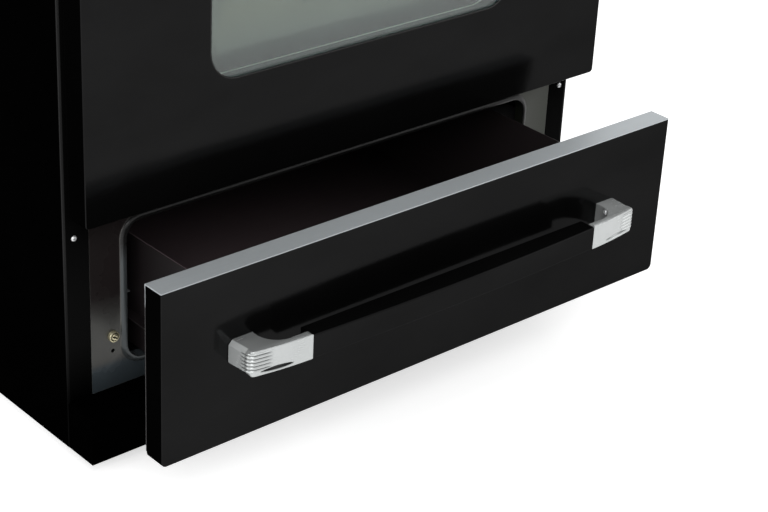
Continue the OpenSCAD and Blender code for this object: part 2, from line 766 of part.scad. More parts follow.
// cap with a rounded edge and a locating ring under it
module burner_cap(i) {
    color([0.04, 0.04, 0.04]) translate([burner_at[i][0], burner_at[i][1], 0]) {
        rotate_extrude() {
            translate([0, cap_z]) square([cap_r - 3, cap_t]);
            translate([0, cap_z]) square([cap_r, cap_t - 3]);
            translate([cap_r - 3, cap_z + cap_t - 3]) circle(3);
            translate([crown_r - 12, cap_z - 4]) square([3, 4.1]);
        }
    }
}

// cast grate over two burners, drawn for the right-hand side
module grate() {
    bar_z = [grate_z0, grate_z0 + grate_t];
    mid_y = (grate_y[0] + grate_y[1]) / 2;
    cross_y = [grate_y[0], mid_y - grate_bar / 2, grate_y[1] - grate_bar];
    long_x = [grate_x[0], burner_x - 86, burner_x + 86 - grate_bar, grate_x[1] - grate_bar];
    for (x = long_x) box([x, x + grate_bar], grate_y, bar_z);
    for (y = cross_y) box(grate_x, [y, y + grate_bar], bar_z);
    for (x = [long_x[0], long_x[3]], y = [cross_y[0], cross_y[2]])
        box([x, x + grate_bar], [y, y + grate_bar], [basin_z + fit, grate_z0 + 1]);
    for (i = [0, 1]) {
        y = i == 0 ? front_burner_y : rear_burner_y;
        for (x = [[long_x[1], burner_x - finger_stop], [burner_x + finger_stop, long_x[2] + grate_bar]])
            box(x, [y - finger_w / 2, y + finger_w / 2], bar_z);
        for (fy = [[cross_y[i], y - finger_stop], [y + finger_stop, cross_y[i + 1] + grate_bar]])
            box(span(burner_x, [-finger_w / 2, finger_w / 2]), fy, bar_z);
    }
}

module grate_left() {
    color([0.03, 0.03, 0.03]) mirror([1, 0, 0]) grate();
}

module grate_right() {
    color([0.03, 0.03, 0.03]) grate();
}

// hollow guard behind the cooktop, with the oven's vent slots in its face
module backguard() {
    guard_y = [body_d - backguard_d - 2, body_d - 2];
    guard_z = [side_z1 + 1, cook_h + backguard_h];
    color([0.02, 0.02, 0.02]) difference() {
        upright(guard_y) round_ended(side_x, guard_z, 22, true);
        upright(guard_y + [sheet, -sheet])
            round_ended(side_x - sheet, guard_z + [-CUT, -sheet], 22 - sheet, true);
        for (i = [0:vent_count - 1], z = [cook_h + 18, cook_h + 32])
            box(span((i - (vent_count - 1) / 2) * 30, [-11, 11]),
                span(guard_y[0], [-CUT, sheet + CUT]), span(z, [0, 5]));
    }
}

// grommet in the rear panel that the supply cord enters through
module power_inlet() {
    color([0.05, 0.05, 0.05]) difference() {
        union() {
            rod_y(-cord_x, cord_z, cord_r + 4, [body_d - 12, body_d + inlet_out]);
            rod_y(-cord_x, cord_z, cord_r + 8, [body_d + 0.1, body_d + inlet_out - 2]);
        }
        rod_y(-cord_x, cord_z, cord_r, [body_d - 12 - CUT, body_d + inlet_out + CUT]);
    }
}

// ---- controls ----

module control_panel() {
    panel_y = [door_face_y, -0.1];
    color([0.02, 0.02, 0.02]) difference() {
        upright(panel_y) round_rect(door_x, [panel_z0, panel_z1], 4);
        upright([panel_y[0] + sheet, CUT])
            round_rect(door_x - sheet, [panel_z0 + sheet, panel_z1 - sheet], 4 - sheet / 2);
        for (x = concat(knob_x, [0]))
            rod_y(x, knob_z, stem_r + 2, span(panel_y[0], [-CUT, sheet + CUT]));
        rod_y(switch_x, knob_z, switch_r + fit, span(panel_y[0], [-CUT, sheet + CUT]));
    }
}

// stem of a burner valve: it slides in the valve, and its knob turns on it
module valve_stem(i) {
    color([0.75, 0.72, 0.6]) {
        rod_y(knob_x[i], knob_z, stem_r, [stem_tip_y, valve_bore_y + 12 - push - CUT]);
        rod_y(knob_x[i], knob_z, collar_r, [valve_y[0] + 6, valve_y[0] + 9]);
    }
}

// a knob's body: a skirt, a round grip and a raised pointer bar
module knob_body(x) {
    rod_y(x, knob_z, knob_r, [knob_y - 3, knob_y]);
    rod_y(x, knob_z, knob_r - 5, [knob_y - knob_l + 5, knob_y - 3 + 0.1]);
    box(span(x, [-4, 4]), [knob_y - knob_l, knob_y - 3], span(knob_z, [-knob_r + 3, knob_r - 3]));
}

module knob(i) {
    color([0.05, 0.05, 0.05]) difference() {
        knob_body(knob_x[i]);
        rod_y(knob_x[i], knob_z, stem_r + running, [stem_tip_y - CUT, knob_y + CUT]);
    }
}

// the oven's knob, in one piece with the thermostat's shaft
module oven_knob() {
    color([0.05, 0.05, 0.05]) {
        knob_body(0);
        rod_y(0, knob_z, stem_r, [knob_y - 1, valve_bore_y + 8]);
    }
}

// push button for the oven lamp, held behind the panel by its flange
module lamp_switch() {
    panel_back = door_face_y + sheet;
    color([0.8, 0.8, 0.8]) {
        rod_y(switch_x, knob_z, switch_r, [door_face_y - push - 2, panel_back + 6]);
        rod_y(switch_x, knob_z, switch_r + 2, [panel_back + fit, panel_back + 2.5]);
    }
}

// ---- racks ----

// wire rack: a frame, wires from front to rear and two cross rods under them
module rack(z) {
    wire_r = rack_rod_r * 2 / 3;
    rack_y = [34, cavity_y1 - 22];
    pitch = 2 * rack_x / (rack_wires + 1);
    color([0.75, 0.76, 0.78]) {
        for (x = [-rack_x, rack_x]) {
            rod_y(x, z, rack_rod_r, rack_y);
            for (y = rack_y) translate([x, y, z]) sphere(rack_rod_r);
        }
        for (y = rack_y) rod_x(y, z, rack_rod_r, [-rack_x, rack_x]);
        for (y = [1, 2] * (rack_y[1] - rack_y[0]) / 3) rod_x(rack_y[0] + y, z, wire_r, [-rack_x, rack_x]);
        for (i = [1:rack_wires]) rod_y(-rack_x + i * pitch, z + wire_r + 1, wire_r, rack_y);
    }
}

module rack_lower() {
    rack(lower_rack_z);
}

module rack_upper() {
    rack(upper_rack_z);
}

// ---- door ----

// room of width w for the hinge arms, which swing out through the door's lower edge
module hinge_slots(w) {
    both_sides() box(span(hinge_x, [-w / 2, w / 2]), [hinge_y - arm_h / 2 - 2, 0],
        [door_z0 - CUT, hinge_z + arm_h / 2 + 9]);
}

// outer pan of the door, with the window opening in its face
module door_skin() {
    color([0.02, 0.02, 0.02]) difference() {
        upright([door_face_y, skin_back_y]) round_rect(door_x, [door_z0, door_z1], door_edge_r);
        upright([door_face_y + sheet, 0])
            round_rect(door_x - sheet, [door_z0 + sheet, door_z1 - sheet], door_edge_r - sheet);
        upright([door_face_y - CUT, 0]) round_rect(window_x, [window_z0, window_z1], window_r);
        hinge_slots(slot_w);
    }
}

// a pane of glass behind the window
module pane(y, lap) {
    upright(y) round_rect(window_x + lap, [window_z0 - lap, window_z1 + lap], window_r + lap);
}

module door_outer_glass() {
    glass_y = door_face_y + sheet + 0.1;
    color([0.5, 0.55, 0.52, 0.5]) pane([glass_y, glass_y + glass_t], glass_lap);
}

// spacer between the two panes
module door_window_frame() {
    frame_y = [door_face_y + sheet + glass_t + 0.2, inner_glass_y - 0.1];
    color([0.7, 0.72, 0.72]) difference() {
        pane(frame_y, 6);
        pane(frame_y + [-CUT, CUT], 6 - 2 * sheet);
    }
}

// inner pan of the door, with a rim that meets the outer pan's edge
module door_liner() {
    liner_x = door_x - 9;
    liner_z = [door_z0 + 8, door_z1 - 8];
    color([0.1, 0.12, 0.16]) difference() {
        union() {
            upright([skin_back_y + 0.05, skin_back_y + 0.05 + sheet])
                round_rect(door_x - 1, [door_z0 + 1, door_z1 - 1], door_edge_r);
            upright([skin_back_y + 0.05, liner_y]) round_rect(liner_x, liner_z, door_edge_r);
        }
        upright([skin_back_y - CUT, liner_y - sheet])
            round_rect(liner_x - sheet, liner_z + [sheet, -sheet], door_edge_r - sheet);
        upright([skin_back_y, 0])
            round_rect(window_x - 5, [window_z0 + 5, window_z1 - 5], window_r - 5);
        hinge_slots(slot_w + 2 * sheet + 1);
    }
}

module door_inner_glass() {
    color([0.5, 0.55, 0.52, 0.5]) pane([inner_glass_y, liner_y - sheet - 0.1], 12);
}

// hinge channels inside the door, with the pins that turn in the arms
module door_hinges() {
    hinge_back_y = door_face_y + sheet + 0.1;
    color([0.65, 0.66, 0.67]) both_sides() {
        for (x = [hinge_x - slot_w / 2 - sheet, hinge_x + slot_w / 2])
            box([x, x + sheet], [hinge_back_y, liner_y - sheet - 1], [hinge_z - 8, hinge_z + 90]);
        box(span(hinge_x, [-slot_w / 2 - 0.1, slot_w / 2 + 0.1]), [hinge_back_y, hinge_back_y + sheet],
            [hinge_z - 8, hinge_z + 90]);
        rod_x(hinge_y, hinge_z, hinge_pin_r,
            span(hinge_x, [-slot_w / 2 - sheet - 1, slot_w / 2 + sheet + 1]));
    }
}

// ---- handles ----

// plan of the right-hand end piece: x across, y the distance from the face
module end_piece_plan() {
    out_x = handle_w / 2;
    tip_x = handle_w / 2 - end_w;
    tip_in = handle_reach - tip_t;
    foot_w = 32.5;
    throat_r = 25;
    throat_x = out_x - foot_w - throat_r;
    difference() {
        polygon([[out_x - foot_w, 0], [out_x, 0], [out_x - 0.6, handle_reach * 0.6],
            [out_x - 4, handle_reach - 9], [out_x - 11, handle_reach - 5.4],
            [tip_x, handle_reach], [tip_x, 0]]);
        translate([tip_x - CUT, -CUT]) square([throat_x - tip_x + CUT, tip_in + CUT]);
        translate([throat_x, tip_in - throat_r]) circle(throat_r);
        translate([throat_x - CUT, -CUT]) square([throat_r + CUT, tip_in - throat_r + CUT]);
    }
}

// a pair of end pieces on a face at face_y, with grooves around their outer corners
module handle_ends(face_y, z) {
    color([0.85, 0.86, 0.88]) both_sides() difference() {
        translate([0, face_y, z - handle_h / 2]) mirror([0, 1, 0])
            linear_extrude(handle_h) end_piece_plan();
        for (i = [0:groove_count - 1])
            translate([0, face_y, z - 7 + i * groove_pitch]) mirror([0, 1, 0])
                linear_extrude(groove_h) difference() {
                    translate([handle_w / 2 - 26, handle_reach / 2 + 2]) square(handle_reach);
                    translate([-groove_h, -groove_h]) end_piece_plan();
                }
    }
}

// bar between the end pieces, bowed in front and straight behind
module handle_bar(face_y, z) {
    half = handle_w / 2 - end_w - 0.05;
    steps = 24;
    front = [for (i = [0:steps]) let (x = half * (2 * i / steps - 1))
        [x, handle_reach + bar_bow * (1 - x * x / (half * half))]];
    rear_y = handle_reach - bar_t;
    color([0.03, 0.03, 0.03]) translate([0, face_y, z - bar_h / 2]) mirror([0, 1, 0])
        linear_extrude(bar_h) polygon(concat(front, [[half, rear_y], [-half, rear_y]]));
}

module door_handle_ends() {
    handle_ends(door_face_y, door_handle_z);
}

module door_handle_bar() {
    handle_bar(door_face_y, door_handle_z);
}

module drawer_handle_ends() {
    handle_ends(drawer_face_y, drawer_handle_z);
}

module drawer_handle_bar() {
    handle_bar(drawer_face_y, drawer_handle_z);
}

// ---- drawer ----

// enamelled front pan, open at its top and rear
module drawer_front() {
    color([0.02, 0.02, 0.02]) difference() {
        upright([drawer_face_y, drawer_back_y - sheet - 0.1])
            round_ended(side_x - 1, [drawer_z0, drawer_z1 - sheet], drawer_corner_r, false);
        upright([drawer_face_y + sheet, 0]) round_ended(side_x - 1 - sheet,
            [drawer_z0 + sheet, drawer_z1 + CUT], drawer_corner_r - sheet, false);
    }
}

// galvanised inner front with its folded top, and the box behind it with a runner on each side
module drawer_box() {
    liner_x = side_x - 1;
    box_y = [drawer_back_y - 0.1, box_y1];
    wall_z = [box_z0, box_z1];
    color([0.7, 0.72, 0.74]) {
        box([-liner_x, liner_x], [drawer_face_y, drawer_back_y], span(drawer_z1, [-sheet + 0.05, 0]));
        box([-liner_x, liner_x], span(drawer_back_y, [-sheet, 0]),
            [drawer_z0 + drawer_corner_r + 1, drawer_z1]);
        difference() {
            box([-box_x, box_x], box_y, wall_z);
            box([-box_x + sheet, box_x - sheet], box_y + [CUT / 10, -sheet],
                [box_z0 + sheet, wall_z[1] + CUT]);
        }
        both_sides() box([box_x - 0.1, rail_x1 - sheet - 1], box_y, span(rail_z + sheet, [0.5, 2]));
    }
}

// ---- all pieces, with the origin at the middle of the footprint ----

module placed() {
    translate([0, -middle_y, 0]) children();
}

placed() side_panel_left();
placed() side_panel_right();
placed() rear_panel();
placed() base_tray();
placed() levelling_feet();
placed() kick_plate();
placed() front_frame();
placed() drawer_surround();
placed() frame_screws();
placed() drawer_rails();
placed() oven_cavity();
placed() oven_floor();
placed() bake_burner();
placed() broil_burner();
placed() oven_igniters();
placed() oven_lamp();
placed() temperature_probe();
placed() oven_insulation();
placed() door_gasket();
placed() hinge_arms();
placed() gas_manifold();
placed() gas_valves();
placed() pressure_regulator();
placed() burner_tubes();
placed() cooktop();
placed() burner_bases();
placed() spark_electrodes();
placed() backguard();
placed() power_inlet();
placed() control_panel();
placed() burner_cap(0);  // burner_cap_front_left
placed() burner_cap(1);  // burner_cap_front_right
placed() burner_cap(2);  // burner_cap_rear_left
placed() burner_cap(3);  // burner_cap_rear_right
placed() grate_left();
placed() grate_right();
placed() valve_stem(0);  // valve_stem_front_left
placed() valve_stem(1);  // valve_stem_front_right
placed() valve_stem(2);  // valve_stem_rear_left
placed() valve_stem(3);  // valve_stem_rear_right
placed() knob(0);  // knob_front_left
placed() knob(1);  // knob_front_right
placed() knob(2);  // knob_rear_left
placed() knob(3);  // knob_rear_right
placed() oven_knob();
placed() lamp_switch();
placed() rack_lower();
placed() rack_upper();
placed() door_skin();
placed() door_outer_glass();
placed() door_window_frame();
placed() door_liner();
placed() door_inner_glass();
placed() door_hinges();
placed() door_handle_ends();
placed() door_handle_bar();
placed() drawer_front();
placed() drawer_box();
placed() drawer_handle_ends();
placed() drawer_handle_bar();
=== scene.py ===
import bpy
import bmesh
import json
import math
from mathutils import Matrix, Vector


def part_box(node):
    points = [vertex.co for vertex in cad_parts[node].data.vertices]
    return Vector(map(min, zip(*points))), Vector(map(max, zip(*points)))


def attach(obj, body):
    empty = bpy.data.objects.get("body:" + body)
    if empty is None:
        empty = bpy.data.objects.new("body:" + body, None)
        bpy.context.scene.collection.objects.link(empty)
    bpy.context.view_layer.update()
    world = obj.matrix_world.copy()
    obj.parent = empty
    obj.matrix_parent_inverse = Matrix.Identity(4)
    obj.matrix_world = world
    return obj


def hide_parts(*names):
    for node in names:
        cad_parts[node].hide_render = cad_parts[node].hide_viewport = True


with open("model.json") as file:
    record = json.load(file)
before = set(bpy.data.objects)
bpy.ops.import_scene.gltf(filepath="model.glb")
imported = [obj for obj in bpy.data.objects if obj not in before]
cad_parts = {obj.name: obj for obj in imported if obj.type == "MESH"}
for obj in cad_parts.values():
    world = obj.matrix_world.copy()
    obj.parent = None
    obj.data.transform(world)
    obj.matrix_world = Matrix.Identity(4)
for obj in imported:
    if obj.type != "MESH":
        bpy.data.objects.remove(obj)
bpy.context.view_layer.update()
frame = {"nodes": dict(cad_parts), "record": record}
NODES = frame["nodes"]


# ---- places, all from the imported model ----

front_lo, front_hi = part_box("drawer_front")
liner_lo, liner_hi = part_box("drawer_box")
door_lo, door_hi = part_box("door_skin")
surround_lo, surround_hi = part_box("drawer_surround")
pane_lo, pane_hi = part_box("door_inner_glass")
FRONT_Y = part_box("front_frame")[0].y     # face of the front frame
PANEL_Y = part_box("control_panel")[0].y   # face of the control panel
SHEET = 0.0015                           # thickness of the sheet steel
PANE_LAP = 0.014                         # how far the panes reach past the window
WIN_X = pane_hi.x - PANE_LAP             # half the window's width
WIN_Z0, WIN_Z1 = pane_lo.z + PANE_LAP, pane_hi.z - PANE_LAP
WINDOW_R = 0.037
BOX_X = sorted({round(abs(v.co.x), 5) for v in NODES["drawer_box"].data.vertices
                if v.co.y > liner_lo.y + 0.1})[1]    # outside of the drawer box's side walls
SIDE_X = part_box("side_panel_right")[1].x
KICK_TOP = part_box("kick_plate")[1].z


# ---- camera ----

PHOTO_W = 768                            # the photo's width in pixels
FOCAL_PX = 2001.8                        # focal length from the fit, in the photo's pixels
SENSOR_MM = 36


def place_camera():
    """Camera at the photo's viewing angle, from a fit of the model's edges to the photo's."""
    yaw, pitch, roll = 0.7424, 0.4801, 0.0532
    at = Vector((-1.3923, -1.6042 + FRONT_Y, 1.2512))
    level = math.cos(pitch)
    forward = Vector((math.sin(yaw) * level, math.cos(yaw) * level, -math.sin(pitch)))
    right = Vector((math.cos(yaw), -math.sin(yaw), 0))
    up = right.cross(forward)
    right_rolled = math.cos(roll) * right + math.sin(roll) * up
    up_rolled = -math.sin(roll) * right + math.cos(roll) * up
    data = bpy.data.cameras.new("camera")
    data.sensor_width = SENSOR_MM
    data.lens = FOCAL_PX / PHOTO_W * SENSOR_MM
    data.clip_start, data.clip_end = 0.05, 100
    cam = bpy.data.objects.new("camera", data)
    bpy.context.scene.collection.objects.link(cam)
    rotation = Matrix((right_rolled, up_rolled, -forward)).transposed()
    cam.matrix_world = Matrix.Translation(at) @ rotation.to_4x4()
    bpy.context.scene.camera = cam


# ---- node helpers ----

def put(tree, socket, value):
    """Links a socket to another node's output, or sets it to a constant."""
    if isinstance(value, bpy.types.NodeSocket):
        tree.links.new(value, socket)
    elif isinstance(value, tuple) and len(value) == 3 and len(socket.default_value) == 4:
        socket.default_value = (*value, 1)
    else:
        socket.default_value = value


def add_node(tree, kind, inputs=(), **props):
    """Node with its properties, and with its inputs by name or number."""
    n = tree.nodes.new(kind)
    for key, value in props.items():
        setattr(n, key, value)
    for key, value in dict(inputs).items():
        put(tree, n.inputs[key], value)
    return n


class Shader:
    """A material's node tree with one Principled shader and short calls for the usual textures."""

    def __init__(self, name, **constants):
        self.mat = bpy.data.materials.new(name)
        self.mat.use_nodes = True
        self.tree = self.mat.node_tree
        self.tree.nodes.clear()
        self.bsdf = self.node("ShaderNodeBsdfPrincipled",
                              {key.replace("_", " "): value for key, value in constants.items()})
        self.node("ShaderNodeOutputMaterial", {"Surface": self.bsdf.outputs["BSDF"]})
        self.coords = self.node("ShaderNodeTexCoord").outputs["Object"]

    def node(self, kind, inputs=(), **props):
        return add_node(self.tree, kind, inputs, **props)

    def set(self, name, value):
        put(self.tree, self.bsdf.inputs[name], value)

    def stretched(self, factors):
        return self.node("ShaderNodeMapping", {"Vector": self.coords, "Scale": factors}).outputs["Vector"]

    def noise(self, scale, detail=3, roughness=0.5, vector=None):
        values = {"Vector": vector or self.coords, "Scale": scale, "Detail": detail, "Roughness": roughness}
        return self.node("ShaderNodeTexNoise", values).outputs["Fac"]

    def voronoi(self, scale, output="Distance"):
        return self.node("ShaderNodeTexVoronoi", {"Vector": self.coords, "Scale": scale}).outputs[output]

    def remap(self, value, low, high, to_low=0.0, to_high=1.0):
        values = {"Value": value, "From Min": low, "From Max": high, "To Min": to_low, "To Max": to_high}
        return self.node("ShaderNodeMapRange", values).outputs["Result"]

    def math(self, operation, a, b=0.0):
        return self.node("ShaderNodeMath", {0: a, 1: b}, operation=operation).outputs[0]

    def times(self, a, b):
        return self.math("MULTIPLY", a, b)

    def mix(self, factor, a, b):
        return self.node("ShaderNodeMix", {0: factor, 6: a, 7: b}, data_type="RGBA").outputs[2]

    def shades(self, value, base, dark, pale, high=0.7):
        """The base colour times dark where value is low, and times pale where it is high."""
        return self.mix(self.remap(value, 0.3, high), tint(base, dark), tint(base, pale))

    def rough(self, value, low, high, top=0.7):
        self.set("Roughness", self.remap(value, 0.3, top, low, high))

    def axis(self, which):
        return self.node("ShaderNodeSeparateXYZ", {0: self.coords}).outputs[which]

    def painted_shading(self):
        """Painted light and shade stored on a mesh's points: above 0 painted shade in its recesses, below 0
        painted light where it is paler.
        """
        return self.node("ShaderNodeAttribute", attribute_name="painted_shading").outputs["Fac"]

    def edge(self, radius):
        """1 along the model's sharp edges and 0 away from them."""
        near = self.node("ShaderNodeBevel", {"Radius": radius}, samples=4).outputs["Normal"]
        plain = self.node("ShaderNodeNewGeometry").outputs["True Normal"]
        dot = self.node("ShaderNodeVectorMath", {0: near, 1: plain}, operation="DOT_PRODUCT")
        return self.remap(dot.outputs["Value"], 0.99, 0.8)

    def bump(self, height, strength, distance, under=None):
        """Bumps, on top of another bump's normal where one is given."""
        values = {"Strength": strength, "Distance": distance, "Height": height}
        if under:
            values["Normal"] = under
        return self.node("ShaderNodeBump", values).outputs["Normal"]


def tint(colour, factor):
    return tuple(min(1.0, c * factor) for c in colour)


# ---- materials, one for each finish ----

def gloss_enamel(name, base, gloss=0.1, painted_edge_highlight=0.7):
    """Sprayed and fired black enamel: slight orange peel, faint smears and settled dust, and a painted
    highlight along its edges.

    The finish mirrors its surroundings about evenly at every angle, with hardly any body colour.
    """
    s = Shader(name, Metallic=0.8, Specular_IOR_Level=0.0, Specular_Tint=(0.5, 0.5, 0.5, 1))
    smear = s.noise(5, 4, 0.6, s.stretched((1, 1, 2.2)))
    dust = s.times(s.remap(s.voronoi(430), 0.035, 0.0), s.remap(s.noise(14), 0.45, 0.75))
    colour = s.shades(smear, base, 0.88, 1.12)
    # painted highlight: the enamel is painted paler along its rounded edges
    colour = s.mix(s.times(s.edge(0.0014), painted_edge_highlight), colour, tint(base, 3.2))
    s.set("Base Color", s.mix(s.times(dust, 0.3), colour, tint(base, 4)))
    rough = s.remap(smear, 0.3, 0.75, gloss, gloss + 0.07)
    s.set("Roughness", s.math("ADD", rough, s.times(dust, 0.25)))
    waves = s.bump(s.noise(9, 1), 0.05, 0.004)
    s.set("Normal", s.bump(s.noise(330, 2, 0.4), 0.06, 0.0006, waves))
    return s.mat


def stoved_paint(name, base, specular):
    """Shader of a stoved paint with its fine texture, and the slightly uneven colour that goes with it."""
    s = Shader(name, Specular_IOR_Level=specular)
    cloud = s.noise(3.5, 4, 0.6)
    fine = s.noise(900, 2, 0.6)
    s.set("Roughness", s.math("ADD", s.remap(cloud, 0.3, 0.7, 0.3, 0.4), s.remap(fine, 0.3, 0.7, 0, 0.06)))
    s.set("Normal", s.bump(fine, 0.1, 0.0004))
    return s, s.shades(cloud, base, 0.7, 1.3)


def satin_paint(name, base, specular, highlight_on_edges=0.3):
    """Semi-gloss stoved paint with a painted highlight that makes its edges a little lighter."""
    s, colour = stoved_paint(name, base, specular)
    # painted highlight along the edges
    s.set("Base Color", s.mix(s.times(s.edge(0.0007), highlight_on_edges), colour, (0.05, 0.05, 0.05)))
    return s.mat


def body_paint(name, base):
    """Stoved black paint, near-black on its flanks; painted light makes the stiles' front faces paler, most of
    all low down, and a painted highlight runs down the two front corners.
    """
    s, colour = stoved_paint(name, base, 0.0)
    across, back, height = s.math("ABSOLUTE", s.axis(0)), s.axis(1), s.axis(2)
    # painted light: the stiles' front faces are painted paler, more so low down
    painted_stile_light = s.times(s.remap(back, FRONT_Y + 0.0008, FRONT_Y + 0.0004),
                    s.remap(height, KICK_TOP, KICK_TOP + 0.07))
    painted_stile_light = s.times(painted_stile_light, s.remap(height, 0.30, 0.19, 0.4, 1.0))
    colour = s.mix(painted_stile_light, colour, tint(base, 11))
    # painted highlight down the two front corners, fainter near the kick plate
    corner = s.times(s.remap(across, SIDE_X - 0.0032, SIDE_X - 0.0020),
                     s.remap(back, FRONT_Y + 0.0022, FRONT_Y + 0.0010))
    corner = s.times(corner, s.remap(height, KICK_TOP + 0.01, KICK_TOP + 0.18, 0.12, 1.0))
    corner = s.times(corner, s.remap(back, FRONT_Y - 0.0008, FRONT_Y - 0.0004))
    s.set("Base Color", s.mix(corner, colour, (0.030, 0.030, 0.030)))
    return s.mat


def brushed(name, base, metallic, rough, along=0, spangle=0.0):
    """Sheet metal with a fine grain along one axis, spangle where it is galvanised, and worn edges."""
    s = Shader(name, Metallic=metallic)
    grain = s.noise(900, 3, 0.7, s.stretched([0.02 if i == along else 1 for i in range(3)]))
    cloud = s.noise(11, 4, 0.6)
    colour = s.shades(cloud, base, 0.88, 1.1, 0.72)
    colour = s.mix(s.remap(grain, 0.35, 0.7, 0, 0.35), colour, tint(base, 0.8))
    if spangle:
        flake = s.node("ShaderNodeRGBToBW", {0: s.voronoi(95, "Color")}).outputs[0]
        colour = s.mix(s.times(flake, spangle), colour, tint(base, 1.45))
        s.set("Roughness", s.remap(flake, 0.1, 0.9, rough - 0.07, rough + 0.1))
    else:
        s.rough(cloud, rough - 0.05, rough + 0.07)
    s.set("Base Color", s.mix(s.times(s.edge(0.0006), 0.35), colour, tint(base, 1.5)))
    s.set("Normal", s.bump(grain, 0.12, 0.0002))
    return s.mat


def chrome(name, base, rough, metallic=1.0, painted_point_shading=False):
    """Plated metal: soft plating waves, polish marks and faint smears; some pieces carry painted light and
    shade on their points.
    """
    s = Shader(name, Metallic=metallic)
    smear = s.noise(26, 4, 0.6)
    hair = s.noise(1500, 2, 0.6, s.stretched((0.05, 1, 1)))
    colour = s.mix(s.remap(smear, 0.35, 0.7), base, tint(base, 0.95))
    if painted_point_shading:
        # painted light where the points' value is below 0, painted shade in the recesses where it is above 0
        depth = s.painted_shading()
        colour = s.mix(s.remap(depth, -0.1, -0.9), colour, tint(base, 1.8))
        colour = s.mix(s.remap(depth, 0.25, 0.9, 0, 0.96), colour, tint(base, 0.04))
    s.set("Base Color", colour)
    marks = s.remap(hair, 0.4, 0.7, 0, 0.03)
    s.set("Roughness", s.math("ADD", s.remap(smear, 0.3, 0.75, rough, rough + 0.05), marks))
    s.set("Normal", s.bump(hair, 0.03, 0.0001, s.bump(s.noise(120, 1), 0.04, 0.0006)))
    return s.mat


def moulded(name, base, specular, rough, grain_scale=1400, grain=0.06):
    """Moulded plastic or rubber with a fine skin texture and paler worn edges."""
    s = Shader(name, Specular_IOR_Level=specular)
    cloud = s.noise(24, 3)
    skin = s.noise(grain_scale, 2, 0.6)
    colour = s.shades(cloud, base, 0.8, 1.25)
    s.set("Base Color", s.mix(s.times(s.edge(0.0005), 0.25), colour, tint(base, 3)))
    s.rough(cloud, rough, rough + 0.09)
    s.set("Normal", s.bump(skin, grain, 0.0003))
    return s.mat


def porcelain(name, base):
    """Oven enamel: blue-black glass coat with fine grey speckles and slight waviness."""
    s = Shader(name, Specular_IOR_Level=0.4)
    speck = s.remap(s.voronoi(520), 0.16, 0.1)
    some = s.remap(s.noise(260, 2), 0.5, 0.62)
    cloud = s.noise(7, 4, 0.6)
    colour = s.shades(cloud, base, 0.75, 1.3)
    s.set("Base Color", s.mix(s.times(speck, some), colour, (0.16, 0.17, 0.19)))
    s.rough(cloud, 0.16, 0.32, 0.75)
    s.set("Normal", s.bump(s.noise(70, 2), 0.08, 0.0012))
    return s.mat


def cast(name, base, rough, metallic, bump_scale=420, depth=0.0007, edge_gain=2.5):
    """Sand-cast surface: pitted grain, uneven colour and brighter corners."""
    s = Shader(name, Metallic=metallic, Specular_IOR_Level=0.35)
    grain = s.noise(bump_scale, 5, 0.65)
    cloud = s.noise(18, 4, 0.6)
    colour = s.shades(cloud, base, 0.7, 1.35)
    s.set("Base Color", s.mix(s.times(s.edge(0.0012), 0.4), colour, tint(base, edge_gain)))
    s.rough(grain, rough - 0.08, rough + 0.1)
    s.set("Normal", s.bump(grain, 0.35, depth))
    return s.mat


def clear_glass(name, base, rough=0.0):
    """Glass with a faint uneven film of grease in its tint."""
    s = Shader(name, Transmission_Weight=1.0, IOR=1.46, Specular_IOR_Level=0.3)
    film = s.noise(8, 4, 0.6)
    s.set("Base Color", s.mix(s.remap(film, 0.3, 0.7), base, tint(base, 0.95)))
    s.set("Roughness", rough)
    return s.mat


def coated_glass(name, base, second):
    """Heat-reflecting inner pane: a greyish-green coating, with a painted reflection that turns it bluish at
    one side and low down, and painted shade darkening its foot.
    """
    s = Shader(name, Specular_IOR_Level=0.3)
    side = s.remap(s.axis(0), pane_lo.x + 0.06, pane_lo.x + 0.025)
    low = s.remap(s.axis(2), pane_lo.z + 0.075, pane_lo.z + 0.02)
    streak = s.noise(6, 4, 0.6, s.stretched((1, 1, 0.35)))
    colour = s.shades(streak, base, 0.92, 1.08)
    # painted reflection: bluish at one side and low down
    painted_reflection_drift = s.math("MAXIMUM", side, s.times(low, 0.85))
    colour = s.mix(s.times(painted_reflection_drift, 0.9), colour, second)
    # painted shade: darker towards the foot of the pane
    painted_foot_shade = s.remap(s.axis(2), pane_lo.z + 0.040, pane_lo.z + 0.014, 0, 0.7)
    colour = s.mix(painted_foot_shade, colour, (0.066, 0.078, 0.090))
    s.set("Base Color", colour)
    s.rough(streak, 0.1, 0.16)
    return s.mat


def woven(name, base, pale, scale):
    """Braided or matted fibre."""
    s = Shader(name, Sheen_Weight=0.3)
    fibre = s.noise(scale, 4, 0.7, s.stretched((1, 1, 0.25)))
    cross = s.noise(scale * 0.8, 3, 0.6, s.stretched((0.25, 1, 1)))
    weave = s.math("MAXIMUM", fibre, cross)
    s.set("Base Color", s.mix(s.remap(weave, 0.4, 0.75), base, pale))
    s.rough(weave, 0.95, 0.8, 0.8)
    s.set("Normal", s.bump(weave, 0.7, 0.0015))
    return s.mat


